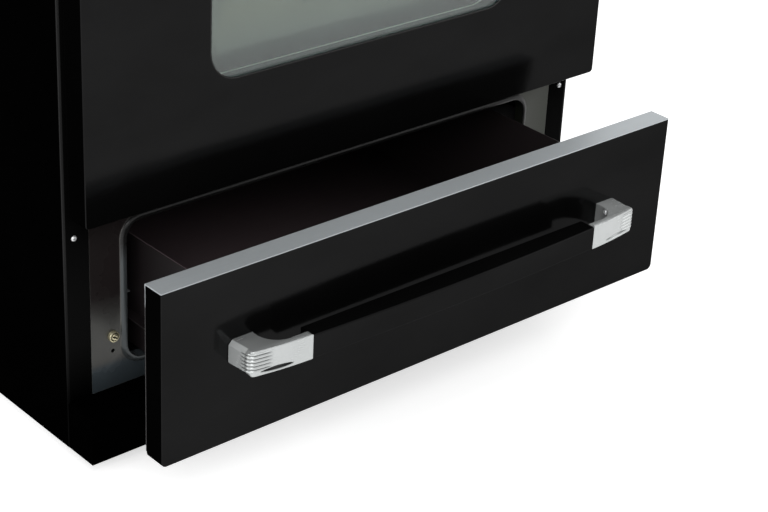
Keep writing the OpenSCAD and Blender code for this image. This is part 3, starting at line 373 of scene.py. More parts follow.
def drawer_metal(name):
    """Satin coated steel inner front and folded top, painted paler to the right as light; the box is coated
    black, its inside painted dark grey as light, and painted darker to the right and on its outer walls as
    shade.
    """
    s = Shader(name, Specular_IOR_Level=0.25)
    back = liner_lo.y + (front_hi.y - front_lo.y)
    base = (0.38, 0.405, 0.42)
    grain = s.noise(800, 3, 0.7, s.stretched((0.02, 1, 1)))
    cloud = s.noise(4.5, 4, 0.6)
    across = s.remap(s.axis(0), liner_lo.x, liner_hi.x, 0.0, 1.0)
    # painted light: the coated steel is painted paler towards the right
    coat_with_painted_light = s.mix(across, tint(base, 0.95), tint(base, 1.4))
    coat_with_painted_light = s.mix(s.remap(cloud, 0.3, 0.7, 0, 0.4), coat_with_painted_light, tint(base, 0.9))
    coat_with_painted_light = s.mix(s.remap(grain, 0.4, 0.7, 0, 0.2), coat_with_painted_light, tint(base, 1.3))
    inside = s.remap(s.axis(1), back + 0.0006, back + 0.001)
    low = s.remap(s.axis(2), liner_hi.z - 0.004, liner_hi.z - 0.006)
    flank = s.math("ABSOLUTE", s.axis(0))
    hem = s.times(s.remap(flank, liner_hi.x - 0.0012, liner_hi.x - 0.0008),
                  s.remap(s.axis(2), liner_hi.z - 0.022, liner_hi.z - 0.028))
    dark = s.math("MAXIMUM", s.times(inside, low), hem)
    # painted light: the box's inside is painted dark grey rather than black
    black_coat_and_shade = s.mix(s.remap(cloud, 0.3, 0.7), (0.090, 0.067, 0.072), (0.105, 0.079, 0.085))
    # painted shade: the inside is painted darker towards the right
    black_coat_and_shade = s.mix(s.remap(s.axis(0), -0.1, BOX_X - 0.02), black_coat_and_shade, (0.017, 0.0132, 0.0138))
    # painted shade: the box's outer walls and the hem are painted darker than the inside
    outer = s.math("MAXIMUM", s.remap(flank, BOX_X - 0.0004, BOX_X - 0.0002), hem)
    black_coat_and_shade = s.mix(outer, black_coat_and_shade, (0.0085, 0.0065, 0.0070))
    s.set("Base Color", s.mix(dark, coat_with_painted_light, black_coat_and_shade))
    s.set("Metallic", s.remap(dark, 0, 1, 0.35, 0.0))
    s.rough(grain, 0.4, 0.5)
    s.set("Normal", s.bump(grain, 0.08, 0.0002))
    return s.mat


def surround_metal(name):
    """Grey coated pressed steel around the drawer's opening, with painted reflections: paler below a slanting
    line, brownish to olive above it and bluish low down, and painted highlights on its bead and edges.
    """
    s = Shader(name, Specular_IOR_Level=0.3)
    base = (0.05, 0.05, 0.047)
    grain = s.noise(700, 3, 0.7)
    cloud = s.noise(9, 4, 0.6)
    height = s.remap(s.axis(2), surround_lo.z, surround_hi.z)
    # painted reflections: paler below a slanting line, brownish on the left and olive on the right above it,
    # bluish low down
    painted_reflection_slant = s.math("ADD", height, s.times(s.axis(0), 0.5))
    upper = s.mix(s.remap(s.axis(0), -0.15, 0.15), (0.024, 0.019, 0.019), (0.0165, 0.0195, 0.0120))
    colour = s.mix(s.remap(painted_reflection_slant, 0.24, 0.40), tint(base, 1.5), upper)
    colour = s.mix(s.remap(height, 0.17, 0.13), colour, (0.056, 0.071, 0.081))
    # painted highlight on the bead: pale and bluish on the left, darker on the right and at the top
    bead = s.remap(s.axis(1), FRONT_Y - 0.0002, FRONT_Y - 0.0016)
    rim = s.mix(s.remap(s.axis(0), -0.15, 0.15), (0.062, 0.070, 0.073), (0.021, 0.025, 0.019))
    rim = s.mix(s.remap(height, 0.72, 0.84), rim, (0.014, 0.014, 0.014))
    colour = s.mix(bead, colour, rim)
    colour = s.mix(s.remap(cloud, 0.35, 0.7, 0, 0.35), colour, tint(base, 0.6))
    # painted highlight along the edges
    colour = s.mix(s.edge(0.0008), colour, tint(base, 3.0))
    s.set("Base Color", colour)
    s.set("Metallic", 0.35)
    s.rough(cloud, 0.24, 0.36)
    s.set("Normal", s.bump(grain, 0.05, 0.0003))
    return s.mat


def spacer_metal(name):
    """Formed steel between the panes, with a painted highlight: a pale line where it meets the inner pane."""
    s = Shader(name, Metallic=0.3)
    back_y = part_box("door_window_frame")[1].y
    grain = s.noise(600, 3, 0.7, s.stretched((0.04, 1, 1)))
    cloud = s.noise(14, 3)
    base = (0.12, 0.168, 0.172)
    colour = s.shades(cloud, base, 0.85, 1.15)
    colour = s.mix(s.remap(grain, 0.35, 0.7, 0, 0.3), colour, tint(base, 0.75))
    # painted highlight: a pale line where the spacer meets the inner pane
    painted_edge_line = s.remap(s.axis(1), back_y - 0.0034, back_y - 0.0028)
    colour = s.mix(painted_edge_line, colour, (0.72, 0.84, 0.76))
    s.set("Base Color", colour)
    s.rough(cloud, 0.32, 0.42)
    s.set("Normal", s.bump(grain, 0.1, 0.0002))
    return s.mat


def slotted_brass(name, base):
    """Brass with a fine grain and some tarnish, and painted shade in its slot and between its rims."""
    s = Shader(name, Metallic=0.85)
    turn = s.noise(2200, 2, 0.6)
    tarnish = s.noise(150, 4, 0.6)
    colour = s.mix(s.remap(tarnish, 0.35, 0.7), base, tint(base, 0.6))
    # painted shade in the slot and between the rims
    s.set("Base Color", s.mix(s.remap(s.painted_shading(), 0.1, 0.8), colour, tint(base, 0.05)))
    s.rough(tarnish, 0.22, 0.38)
    s.set("Normal", s.bump(turn, 0.1, 0.0001))
    return s.mat


def printed_mark(name, base):
    """White stove print, slightly uneven and worn."""
    s = Shader(name, Specular_IOR_Level=0.3)
    wear = s.noise(700, 3, 0.7)
    s.set("Base Color", s.mix(s.remap(wear, 0.5, 0.75, 0, 0.5), base, tint(base, 0.6)))
    s.rough(wear, 0.4, 0.55)
    return s.mat


BLACK = (0.0106, 0.0106, 0.0107)
FINISHES = {
    "black_enamel": (gloss_enamel, BLACK),
    # painted shade: a darker copy of the enamel for the pans' sides
    "edge_enamel": (satin_paint, (0.0010, 0.0010, 0.0010), 0.0, 0.08),
    "side_paint": (body_paint, (0.0006, 0.0006, 0.0006)),
    "galvanised_steel": (brushed, (0.42, 0.44, 0.45), 0.8, 0.4, 0, 0.3),
    "satin_steel": (drawer_metal,),
    "surround_steel": (surround_metal,),
    "chrome": (chrome, (0.485, 0.502, 0.500), 0.22, 0.6, True),
    "bar_black": (gloss_enamel, BLACK, 0.12, 0.0),
    "knob_black": (moulded, (0.012, 0.012, 0.013), 0.4, 0.2),
    "oven_enamel": (porcelain, (0.012, 0.014, 0.02)),
    "outer_glass": (clear_glass, (0.86, 0.92, 0.88)),
    "inner_glass": (coated_glass, (0.150, 0.170, 0.140), (0.092, 0.125, 0.128)),
    "spacer_steel": (spacer_metal,),
    "rack_chrome": (chrome, (0.6, 0.61, 0.62), 0.18),
    "cast_iron": (cast, (0.014, 0.014, 0.015), 0.55, 0.0),
    "burner_aluminium": (cast, (0.42, 0.42, 0.43), 0.42, 0.8, 600, 0.0004, 1.5),
    "cap_enamel": (cast, (0.011, 0.011, 0.012), 0.42, 0.0, 900, 0.0003),
    "tube_aluminium": (brushed, (0.62, 0.63, 0.65), 1.0, 0.3),
    "black_pipe": (satin_paint, (0.02, 0.02, 0.021), 0.4),
    "brass": (chrome, (0.52, 0.43, 0.24), 0.16),
    "fitting_brass": (slotted_brass, (0.80, 0.74, 0.50)),
    "knob_mark": (printed_mark, (0.72, 0.72, 0.70)),
    "zinc_casting": (cast, (0.4, 0.4, 0.39), 0.45, 0.7, 500, 0.0004, 1.5),
    "burner_steel": (brushed, (0.3, 0.3, 0.3), 0.8, 0.42),
    "ceramic": (moulded, (0.5, 0.48, 0.44), 0.3, 0.5, 800),
    "lamp_glass": (clear_glass, (0.92, 0.9, 0.84), 0.3),
    "gasket": (woven, (0.02, 0.02, 0.022), (0.12, 0.12, 0.12), 900),
    "wool": (woven, (0.42, 0.36, 0.2), (0.72, 0.66, 0.44), 260),
    "rubber": (moulded, (0.014, 0.014, 0.014), 0.25, 0.55, 700, 0.15),
    "foot_black": (moulded, (0.016, 0.016, 0.017), 0.3, 0.45),
    "screw_steel": (chrome, (0.82, 0.83, 0.84), 0.34, 0.7),
    "stem_steel": (brushed, (0.45, 0.45, 0.43), 1.0, 0.3, 1),
    "hinge_steel": (brushed, (0.42, 0.43, 0.44), 0.85, 0.36),
}
MATERIALS = {name: make(name, *values) for name, (make, *values) in FINISHES.items()}


# ---- finish of the carried-over nodes: soft edges and their material ----

SLOT_OF = {p["node"]: p["material_slot"] for p in frame["record"]["subparts"]}
# Width of the rounded edges for each slot.
EDGE_MM = {"cast_iron": 1.6, "black_enamel": 1.0, "side_paint": 0.7, "oven_enamel": 0.8, "knob_black": 0.8,
           "burner_aluminium": 0.6, "surround_steel": 1.2, "spacer_steel": 0.4, "zinc_casting": 1.2,
           "outer_glass": 0.4, "inner_glass": 0.4, "rack_chrome": 0.0, "wool": 3.0, "gasket": 1.2}
OTHER_EDGE_MM = 0.4
FLAT_SHEETS = {"front_frame"}            # flat right up to their rounded edges


def soften(obj, width_mm, even_out):
    """Joins the node's faces, rounds its sharp edges and evens out its shading."""
    weld = obj.modifiers.new("weld", "WELD")
    weld.merge_threshold = 0.00002
    if width_mm:
        flat = obj.modifiers.new("flat", "DECIMATE")
        flat.decimate_type = "DISSOLVE"
        flat.angle_limit = math.radians(0.2)
        bevel = obj.modifiers.new("bevel", "BEVEL")
        bevel.width = width_mm / 1000
        bevel.segments = 3
        bevel.limit_method = "ANGLE"
        bevel.angle_limit = math.radians(32)
        bevel.use_clamp_overlap = True
        bevel.harden_normals = not even_out
    if even_out:
        even = obj.modifiers.new("even", "WEIGHTED_NORMAL")
        even.keep_sharp = True
        even.weight = 90


def finish_nodes(replaced):
    for name, obj in NODES.items():
        slot = SLOT_OF[name]
        for place in obj.material_slots:
            place.material = MATERIALS[slot]
        if name not in replaced:
            soften(obj, EDGE_MM.get(slot, OTHER_EDGE_MM), name not in FLAT_SHEETS)


# ---- mesh helpers ----

CORNER_STEPS = 10                        # steps in a rounded corner, where nothing else is said


def islands(name):
    """Low and high corners of each separate solid of a CAD node."""
    bm = bmesh.new()
    bm.from_mesh(NODES[name].data)
    bmesh.ops.remove_doubles(bm, verts=bm.verts, dist=0.00001)
    left, found = set(bm.verts), []
    while left:
        front = [left.pop()]
        lo, hi = front[0].co.copy(), front[0].co.copy()
        while front:
            v = front.pop()
            lo = Vector(map(min, lo, v.co))
            hi = Vector(map(max, hi, v.co))
            near = {e.other_vert(v) for e in v.link_edges} & left
            left -= near
            front += near
        found.append((lo, hi))
    bm.free()
    return sorted(found, key=lambda b: tuple(b[0]))


def make_object(name, bm, material, body, smooth_angle, second=None):
    """Mesh object on a body; faces with material index 1 take the second material."""
    mesh = bpy.data.meshes.new(name)
    bmesh.ops.recalc_face_normals(bm, faces=bm.faces)
    bm.to_mesh(mesh)
    bm.free()
    obj = bpy.data.objects.new(name, mesh)
    bpy.context.scene.collection.objects.link(obj)
    mesh.materials.append(MATERIALS[material])
    if second:
        mesh.materials.append(MATERIALS[second])
    mesh.polygons.foreach_set("use_smooth", [True] * len(mesh.polygons))
    mesh.set_sharp_from_angle(angle=math.radians(smooth_angle))
    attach(obj, body)
    return obj


def join_rows(bm, a, b, skip=()):
    """Band of faces between two closed rows of vertices, without the places in skip."""
    for i in range(len(a)):
        if i not in skip:
            j = (i + 1) % len(a)
            bm.faces.new((a[i], a[j], b[j], b[i]))


def grid_faces(bm, rings):
    """Joins rings of as many points each, and returns their vertices."""
    rows = [[bm.verts.new(p) for p in ring] for ring in rings]
    for a, b in zip(rows, rows[1:]):
        join_rows(bm, a, b)
    return rows


def toned_grid(bm, rings, tones):
    """The same, with a tone on each point that the material reads as painted light and shade."""
    painted_shading = bm.verts.layers.float.new("painted_shading")
    rows = grid_faces(bm, rings)
    for v, tone in zip((v for row in rows for v in row), tones):
        v[painted_shading] = tone
    return rows


def close_ends(bm, rows):
    """A face across the first row and one across the last."""
    bm.faces.new(rows[0][::-1])
    bm.faces.new(rows[-1])


def angles(count):
    return [2 * math.pi * i / count for i in range(count)]


def circle(r, count):
    return [(r * math.cos(a), r * math.sin(a)) for a in angles(count)]


def quarter_round(r, steps):
    """Inset and depth of the points of a quarter round, from a panel's side to its face."""
    turns = [math.radians(90 * k / steps) for k in range(steps + 1)]
    return [(r * (1 - math.cos(a)), r * (1 - math.sin(a))) for a in turns]


def rounded_outline(x0, x1, z0, z1, radii, steps=CORNER_STEPS):
    """Outline in X and Z with its own radius at each corner: low left, low right, high right, high left."""
    points = []
    corners = [(x0, z0, 180), (x1, z0, 270), (x1, z1, 0), (x0, z1, 90)]
    for (cx, cz, start), r in zip(corners, radii):
        r = max(r, 0.00005)
        mx = cx + r if cx == x0 else cx - r
        mz = cz + r if cz == z0 else cz - r
        for k in range(steps + 1):
            a = math.radians(start + 90 * k / steps)
            points.append((mx + r * math.cos(a), mz + r * math.sin(a)))
    return points


def inset_outline(x0, x1, z0, z1, radii, d, steps=CORNER_STEPS):
    return rounded_outline(x0 + d, x1 - d, z0 + d, z1 - d, [r - d for r in radii], steps)


def at_y(outline, y, mid_x=0.0, mid_z=0.0):
    """Ring of points: the outline stood upright at y, round a middle."""
    return [(mid_x + x, y, mid_z + z) for x, z in outline]


def make_pan(name, bm, body):
    """Enamelled pan; its faces that don't look forward or back take the edge enamel, a darker copy of it that
    paints shade on the sides.
    """
    bmesh.ops.recalc_face_normals(bm, faces=bm.faces)
    bm.normal_update()
    for f in bm.faces:
        f.material_index = 0 if abs(f.normal.y) > 0.6 else 1
    return make_object(name, bm, "black_enamel", body, 50, "edge_enamel")


# ---- drawer front ----

def drawer_pan():
    """Drawer front whose face is rounded into its sides; its lower corners are rounder."""
    lo, hi = front_lo, front_hi
    radii, face_r = (0.007, 0.007, 0.0012, 0.0012), 0.0011

    def ring(d, y):
        return at_y(inset_outline(lo.x, hi.x, lo.z, hi.z, radii, d), y)

    rings = [ring(0, hi.y)] + [ring(d, lo.y + depth) for d, depth in quarter_round(face_r, 6)]
    bm = bmesh.new()
    close_ends(bm, grid_faces(bm, rings))
    pan = make_pan("drawer_front_pan", bm, "drawer")
    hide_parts("drawer_front")


# ---- door pan ----

ARM_PLAY = 0.002                         # room in the door's slots on each side of a hinge arm


def slotted_outline(x0, x1, z0, z1, r, cuts):
    """Rounded outline with extra points on its lower edge at the places in cuts."""
    points = rounded_outline(x0, x1, z0, z1, (r,) * 4)
    first = CORNER_STEPS + 1
    return points[:first] + [(x, z0) for x in cuts] + points[first:]


def door_pan():
    """Outer pan of the door: rounded face, window opening and the two slots for the hinge arms."""
    lo, hi = door_lo, door_hi
    cuts = []
    for arm_lo, arm_hi in sorted(islands("hinge_arms"), key=lambda b: b[0].x):
        cuts += [arm_lo.x - ARM_PLAY, arm_hi.x + ARM_PLAY]
    slot_y = lo.y + 0.014
    corner, face_r, lip = 0.005, 0.0016, 0.0009
    win_cuts = [x * (WIN_X - WINDOW_R) / (hi.x - corner) for x in cuts]

    def outer(d, y):
        return at_y(slotted_outline(lo.x + d, hi.x - d, lo.z + d, hi.z - d, corner - d, cuts), y)

    def window(d, y):
        return at_y(slotted_outline(-WIN_X + d, WIN_X - d, WIN_Z0 + d, WIN_Z1 - d, WINDOW_R - d, win_cuts), y)

    rings = [outer(0, hi.y), outer(0, slot_y)]
    rings += [outer(d, lo.y + depth) for d, depth in quarter_round(face_r, 6)]
    rings += [window(-d, lo.y + depth) for depth, d in quarter_round(lip, 4)]
    rings += [window(0, lo.y + SHEET), outer(SHEET, lo.y + SHEET), outer(SHEET, slot_y), outer(SHEET, hi.y)]
    bm = bmesh.new()
    rows = [[bm.verts.new(p) for p in ring] for ring in rings]
    slots = {CORNER_STEPS + 1, CORNER_STEPS + 3}
    slotted_rows = (0, len(rows) - 2, len(rows) - 1)
    for r, (a, b) in enumerate(zip(rows, rows[1:] + rows[:1])):
        join_rows(bm, a, b, slots if r in slotted_rows else ())
    pan = make_pan("door_outer_pan", bm, "door")
    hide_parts("door_skin")


def window_gasket():
    """Black rubber cord in the gap between the window's edge and the glass, which also stands in for the shade
    in that gap.
    """
    r, y = 0.0010, door_lo.y + SHEET - 0.0009
    rings = [at_y(inset_outline(-WIN_X, WIN_X, WIN_Z0, WIN_Z1, (WINDOW_R,) * 4, r * 0.6 + d, 16), y + depth)
             for d, depth in circle(r, 12)]
    bm = bmesh.new()
    grid_faces(bm, rings + rings[:1])
    bmesh.ops.remove_doubles(bm, verts=bm.verts, dist=0.000001)
    make_object("window_gasket", bm, "rubber", "door", 60)


# ---- drawer surround ----

MOUTH_SIDE, MOUTH_LOW, MOUTH_TOP = 0.0462, 0.029, 0.0095    # rim beside, under and over the opening
MOUTH_R, BEAD_W = 0.020, 0.008
MOUTH_STEPS = 14
HOLE_R, HOLE_DROP = 0.0025, 0.019        # small hole in the surround, and how far it is under the fitting


def pierce(bm, face, mid_x, mid_z, r):
    """Replaces an upright face by one with a round hole in it, and returns the hole's vertices."""
    y, edges = face.verts[0].co.y, list(face.edges)
    rim = [bm.verts.new(p) for p in at_y(circle(r, 20), y, mid_x, mid_z)]
    edges += [bm.edges.new((rim[k - 1], rim[k])) for k in range(len(rim))]
    bm.faces.remove(face)
    bmesh.ops.triangle_fill(bm, edges=edges, use_beauty=True)
    return rim


def surround_pressing():
    """Plate around the drawer's opening, with its rolled bead, the lip behind it and the small hole."""
    lo, hi = surround_lo, surround_hi
    mouth_x, z0, z1 = hi.x - MOUTH_SIDE, lo.z + MOUTH_LOW, hi.z - MOUTH_TOP
    bead_h = FRONT_Y - lo.y

    def ring(d, y):
        """d is the distance outside the opening."""
        return at_y(inset_outline(-mouth_x, mouth_x, z0, z1, (MOUTH_R,) * 4, -d, MOUTH_STEPS), y)

    plate = rounded_outline(lo.x, hi.x, lo.z, hi.z, (0.0012,) * 4, MOUTH_STEPS)
    rings = [at_y(plate, FRONT_Y + SHEET), at_y(plate, FRONT_Y)]
    rings += [ring(BEAD_W - 0.0003 * k, FRONT_Y - 0.0003 * k * k / 4) for k in range(3)]
    for k in range(1, 16):
        t = k / 16
        rings.append(ring(BEAD_W * (1 - t) * 0.95, FRONT_Y - bead_h * math.sin(math.pi * (0.08 + 0.6 * t))))
    rings += [ring(0.0, FRONT_Y - 0.0005), ring(0.0, hi.y - 0.0006), ring(0.0006, hi.y),
              ring(SHEET, hi.y), ring(SHEET, FRONT_Y + SHEET)]
    bm = bmesh.new()
    rows = grid_faces(bm, rings)
    join_rows(bm, rows[-1], rows[0])
    fit_lo, fit_hi = max(islands("frame_screws"), key=lambda b: (b[0].x < 0) * (b[1].z - b[0].z))
    at_x, at_z = (fit_lo.x + fit_hi.x) / 2, (fit_lo.z + fit_hi.z) / 2 - HOLE_DROP
    rims = []
    for a, b in ((rows[1], rows[2]), (rows[-1], rows[0])):
        corners = {a[-1], a[0], b[-1], b[0]}
        face = next(f for f in a[0].link_faces if set(f.verts) == corners)
        rims.append(pierce(bm, face, at_x, at_z, HOLE_R))
    for k in range(len(rims[0])):
        bm.faces.new((rims[0][k - 1], rims[0][k], rims[1][k], rims[1][k - 1]))
    pressing = make_object("drawer_surround_pressing", bm, "surround_steel", "body", 40)
    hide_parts("drawer_surround")


# ---- handles ----

END_FOOT = 0.0325                        # width of an end piece where it stands on the face
THROAT_R = 0.025                         # curve between the foot and the bar
END_CORNER_R = 0.009                     # outer corner, seen from above
END_SHORT = 0.0155                       # how far the side stops short of the front
TIP_T = 0.010                            # thickness where it meets the bar
END_ROUND = 0.0011                       # rounding of its upper and lower edges
END_CHAMFER = 0.0048                     # slope of those edges along its side
RIB_MID, RIB_HALF = 0.0015, 0.0105       # middle and half height of the ribs, from the piece's middle
RIB_PITCH, RIB_DEPTH, RIB_PROUD = 0.0042, 0.0013, 0.0008
CREASE_FROM, CREASE_LEN = 0.0040, 0.040  # start and length of the crease low on the front
CREASE_HALF, CREASE_DEPTH = 0.0032, 0.0030
# Painted shade of each end piece's ribs, crease, throat and top; a value below 0 is painted light
END_PAINTED_SHADING = {-1: {"rib": 0.8, "crease": 3.0, "throat": 0.66, "top": 0.34},    # left end piece
             1: {"rib": 0.35, "crease": 0.5, "throat": 0.2, "top": -0.5}}     # right end piece
END_LEVELS = 100                         # layers from an end piece's foot to its top
SCREW_TURN = math.radians(22)            # place of the end screw round the throat
SCREW_RISE = 0.0105                      # and its height above the piece's middle
SCREW_R, SCREW_H = 0.0032, 0.0014


def smooth(t):
    t = max(0.0, min(1.0, t))
    return t * t * (3 - 2 * t)


def arc(cx, cy, r, a0, a1, n):
    turns = [math.radians(a0 + (a1 - a0) * k / n) for k in range(n + 1)]
    return [(cx + r * math.cos(a), cy + r * math.sin(a)) for a in turns]


def line(a, b, n):
    return [(a[0] + (b[0] - a[0]) * k / n, a[1] + (b[1] - a[1]) * k / n) for k in range(n)]


def end_outline(width, reach, tip):
    """Plan of the right-hand end piece in X and distance from the face, with a tag on each point."""
    side_top = (width - 0.0022, reach - END_SHORT)
    corner = arc(side_top[0] - END_CORNER_R, side_top[1] - 0.0002, END_CORNER_R, 0, 80, 14)
    start_x, start_y = corner[-1]
    front = []
    for k in range(1, 41):
        t = k / 40
        front.append((start_x - (start_x - tip) * t, start_y + (reach - start_y) * (1 - (1 - t) ** 1.6)))
    foot_x = width - END_FOOT
    throat_x, inner_y = foot_x - THROAT_R, reach - TIP_T
    throat = arc(throat_x, inner_y - THROAT_R, THROAT_R, 90, 0, 22)
    if inner_y - THROAT_R > 0.002:
        throat += line((foot_x, inner_y - THROAT_R - 0.0005), (foot_x, 0.0008), 3)
    runs = (("base", line((foot_x, 0), (width - 0.001, 0), 6)),
            ("side", line((width, 0.001), side_top, 16)),
            ("corner", corner),
            ("front", front),
            ("tip", line((tip, reach - 0.0006), (tip, inner_y), 4)),
            ("inner", line((tip + 0.0005, inner_y), (throat_x, inner_y), 8)),
            ("throat", throat))
    return [(p, tag) for tag, run in runs for p in run]


def end_normals(pts):
    """Outward direction at each point of the plan; the side has one direction, so it stays flat."""
    side = [p for p, tag in pts if tag == "side"]
    normals = []
    for i, (_, tag) in enumerate(pts):
        a, b = pts[i - 1][0], pts[(i + 1) % len(pts)][0]
        if tag == "side":
            a, b = side[0], side[-1]
        dx, dy = b[0] - a[0], b[1] - a[1]
        length = math.hypot(dx, dy) or 1
        normals.append((dy / length, -dx / length))
    return normals


def rib_share(tag, from_corner, from_side_top):
    """How much of the ribs' depth a point has: all round the corner, and fading out beyond it."""
    if tag == "side":
        return smooth((from_side_top + 0.009) / 0.004)
    if tag == "front":
        return 1 - smooth((from_corner - 0.010) / 0.013)
    return 1.0 if tag == "corner" else 0.0


def crease_share(from_corner, height):
    """How much of the crease's depth a point of the front has, height being over the piece's foot."""
    along = (from_corner - CREASE_FROM) / CREASE_LEN
    if not 0 < along < 1:
        return 0.0
    half = CREASE_HALF * math.sqrt(max(0.0, math.sin(math.pi * along)))
    off = abs(height - END_CHAMFER + 0.0006 * along)
    return 1 - smooth(off / half) if half > 0.0003 and off < half else 0.0


def end_piece(name, sign, face_y, z_mid, half_h, width, reach, tip, body):
    """Chrome end piece, built up in layers from its plan, with ribs, a crease and painted light and shade on
    each point.
    """
    pts = end_outline(width, reach, tip)
    normals = end_normals(pts)
    tones_of = END_PAINTED_SHADING[sign]
    side_len = reach - END_SHORT
    corner_x = next(p[0] for p, tag in pts if tag == "front")
    rings, tones = [], []
    for k in range(END_LEVELS + 1):
        z = half_h * (2 * k / END_LEVELS - 1)
        edge = max(0.0, abs(z) - (half_h - END_ROUND))
        rounding = END_ROUND - math.sqrt(max(0.0, END_ROUND ** 2 - edge ** 2))
        chamfer = max(0.0, abs(z) - (half_h - END_CHAMFER))
        off = abs(z - RIB_MID)
        wave = 0.0
        if off < RIB_HALF:
            wave = 0.5 - 0.5 * math.cos((z - RIB_MID + RIB_HALF) / RIB_PITCH * 2 * math.pi)
        ring = []
        for ((x, y), tag), n in zip(pts, normals):
            dip = rounding
            if tag in ("side", "corner"):
                along = 0.0 if tag == "side" else (width - x) / END_CORNER_R
                dip += chamfer * (1 - smooth(along * 1.4))
            ribs = rib_share(tag, corner_x - x, y - side_len)
            dip += RIB_DEPTH * ribs * wave ** 1.6
            # painted light: the side is painted paler; painted shade darkens the ribs' grooves
            plain = -1.0 if tag == "side" else 0.0
            tone = plain + (tones_of["rib"] - plain) * ribs * wave ** 3
            # painted shade in the crease and the throat; the top takes painted light or shade of its own
            if tag == "front":
                bite = crease_share(corner_x - x, z + half_h)
                dip += CREASE_DEPTH * bite
                tone = max(tone, bite * tones_of["crease"])
            elif tag == "throat":
                tone = tones_of["throat"]
            if k == END_LEVELS:
                tone = tones_of["top"]
            tones.append(min(1.0, tone))
            d = dip - (RIB_PROUD * ribs if off < RIB_HALF + 0.0007 else 0.0)
            qx, qy = x - n[0] * d, y - n[1] * d
            if tag == "base":
                qx, qy = min(x, width - chamfer - dip), y
            qx, qy = min(qx, width), max(0.0, min(qy, reach))
            ring.append((sign * qx, face_y - qy, z_mid + z))
        rings.append(ring)
    bm = bmesh.new()
    close_ends(bm, toned_grid(bm, rings, tones))
    return make_object(name, bm, "chrome", body, 38)


def handle_bar(name, lo, hi, bow_from, body):
    """Bar with a bowed front and a straight back; lo.y is the middle of its front."""
    half_h, z_mid = (hi.z - lo.z) / 2, (hi.z + lo.z) / 2
    radii = (0.0010, 0.0008, 0.0008, 0.0020)
    stations = 48
    rings = []
    for i in range(stations + 1):
        t = 2 * i / stations - 1
        front = bow_from + (lo.y - bow_from) * (1 - t * t)
        outline = rounded_outline(front, hi.y, -half_h, half_h, radii, 6)
        rings.append([(hi.x * t, y, z_mid + z) for y, z in outline])
    bm = bmesh.new()
    close_ends(bm, grid_faces(bm, rings))
    return make_object(name, bm, "bar_black", body, 40)


def handle(prefix, body):
    """Two chrome end pieces, each with a screw in its throat, and the bar between them."""
    ends_lo, ends_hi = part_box(prefix + "_handle_ends")
    bar_lo, bar_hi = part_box(prefix + "_handle_bar")
    face_y = ends_hi.y
    reach = face_y - ends_lo.y
    z_mid = (ends_lo.z + ends_hi.z) / 2
    half_h = (ends_hi.z - ends_lo.z) / 2
    tip = bar_hi.x + 0.0004
    cos, sin = math.cos(SCREW_TURN), math.sin(SCREW_TURN)
    screw_x = ends_hi.x - END_FOOT - THROAT_R + THROAT_R * cos
    screw_y = face_y - (reach - TIP_T - THROAT_R + THROAT_R * sin)
    for side, sign in (("left", -1), ("right", 1)):
        end = end_piece(prefix + "_chrome_end_" + side, sign, face_y, z_mid, half_h,
                        ends_hi.x, reach, tip, body)
        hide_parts(prefix + "_handle_ends")
        domed_screw(prefix + "_end_screw_" + side, Vector((sign * screw_x, screw_y, z_mid + SCREW_RISE)),
                    Vector((-sign * cos, sin, 0)), SCREW_R, SCREW_H, body)
    bar = handle_bar(prefix + "_black_bar", bar_lo, bar_hi, ends_lo.y, body)
    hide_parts(prefix + "_handle_bar")


# ---- fasteners ----

SKIRT = 0.0006                           # how far a head reaches below the surface it sits on
HEAD_SEAT, HEAD_H = 0.0024, 0.0023       # height of a CAD head, and of the domed one
FRONT_HEAD = 0.74                        # size of the heads on the front, against the CAD's
FITTING_MIN = 0.0125                     # the only head that is larger than this is the brass fitting
SLOT_TURN = 0.5                          # direction of the fitting's slot, in radians


def domed_screw(name, at, axis, radius, height, body):
    """Round head with a cross recess, on the surface at `at` and rising along axis."""
    turn = axis.normalized().to_track_quat("Z", "Y")
    around, out = 40, 12
    rings = []
    for k in range(out, 0, -1):
        t = k / out
        ring = []
        for x, y in circle(radius * t, around):
            z = height * math.sqrt(max(0.0, 1 - t ** 2.4))
            if min(abs(x), abs(y)) < radius * 0.14 and max(abs(x), abs(y)) < radius * 0.58:
                z -= height * 0.55
            ring.append(at + turn @ Vector((x, y, z)))
        rings.append(ring)
    bm = bmesh.new()
    rows = grid_faces(bm, rings)
    bm.faces.new(rows[-1])
    skirt = [bm.verts.new(at + turn @ Vector((x, y, -SKIRT))) for x, y in circle(radius, around)]
    join_rows(bm, skirt, rows[0])
    return make_object(name, bm, "screw_steel", body, 50)


def slotted_fitting(name, at, radius, height, body):
    """Round brass fitting: a stepped collar and a domed centre with a slot across it."""
    profile = [(1.0, 0.0), (1.0, 0.55), (0.94, 0.68), (0.80, 0.70), (0.74, 0.48), (0.66, 0.46), (0.60, 0.86),
               (0.52, 0.97), (0.40, 1.0), (0.28, 1.0), (0.16, 1.0), (0.05, 1.0)]
    rings, tones = [], []
    for r, h in profile:
        ring = []
        for x, z in circle(radius * r, 64):
            across = abs(x * math.sin(SLOT_TURN) + z * math.cos(SLOT_TURN))
            slot = r < 0.6 and across < radius * 0.11
            ring.append((at.x + x, at.y - height * (h - (0.45 if slot else 0.0)), at.z + z))
            # painted shade in the slot and between the rims
            tones.append(1.0 if slot or 0.64 < r < 0.76 else 0.0)
        rings.append(ring)
    bm = bmesh.new()
    rows = toned_grid(bm, rings, tones)
    bm.faces.new(rows[-1])
    return make_object(name, bm, "fitting_brass", body, 50)


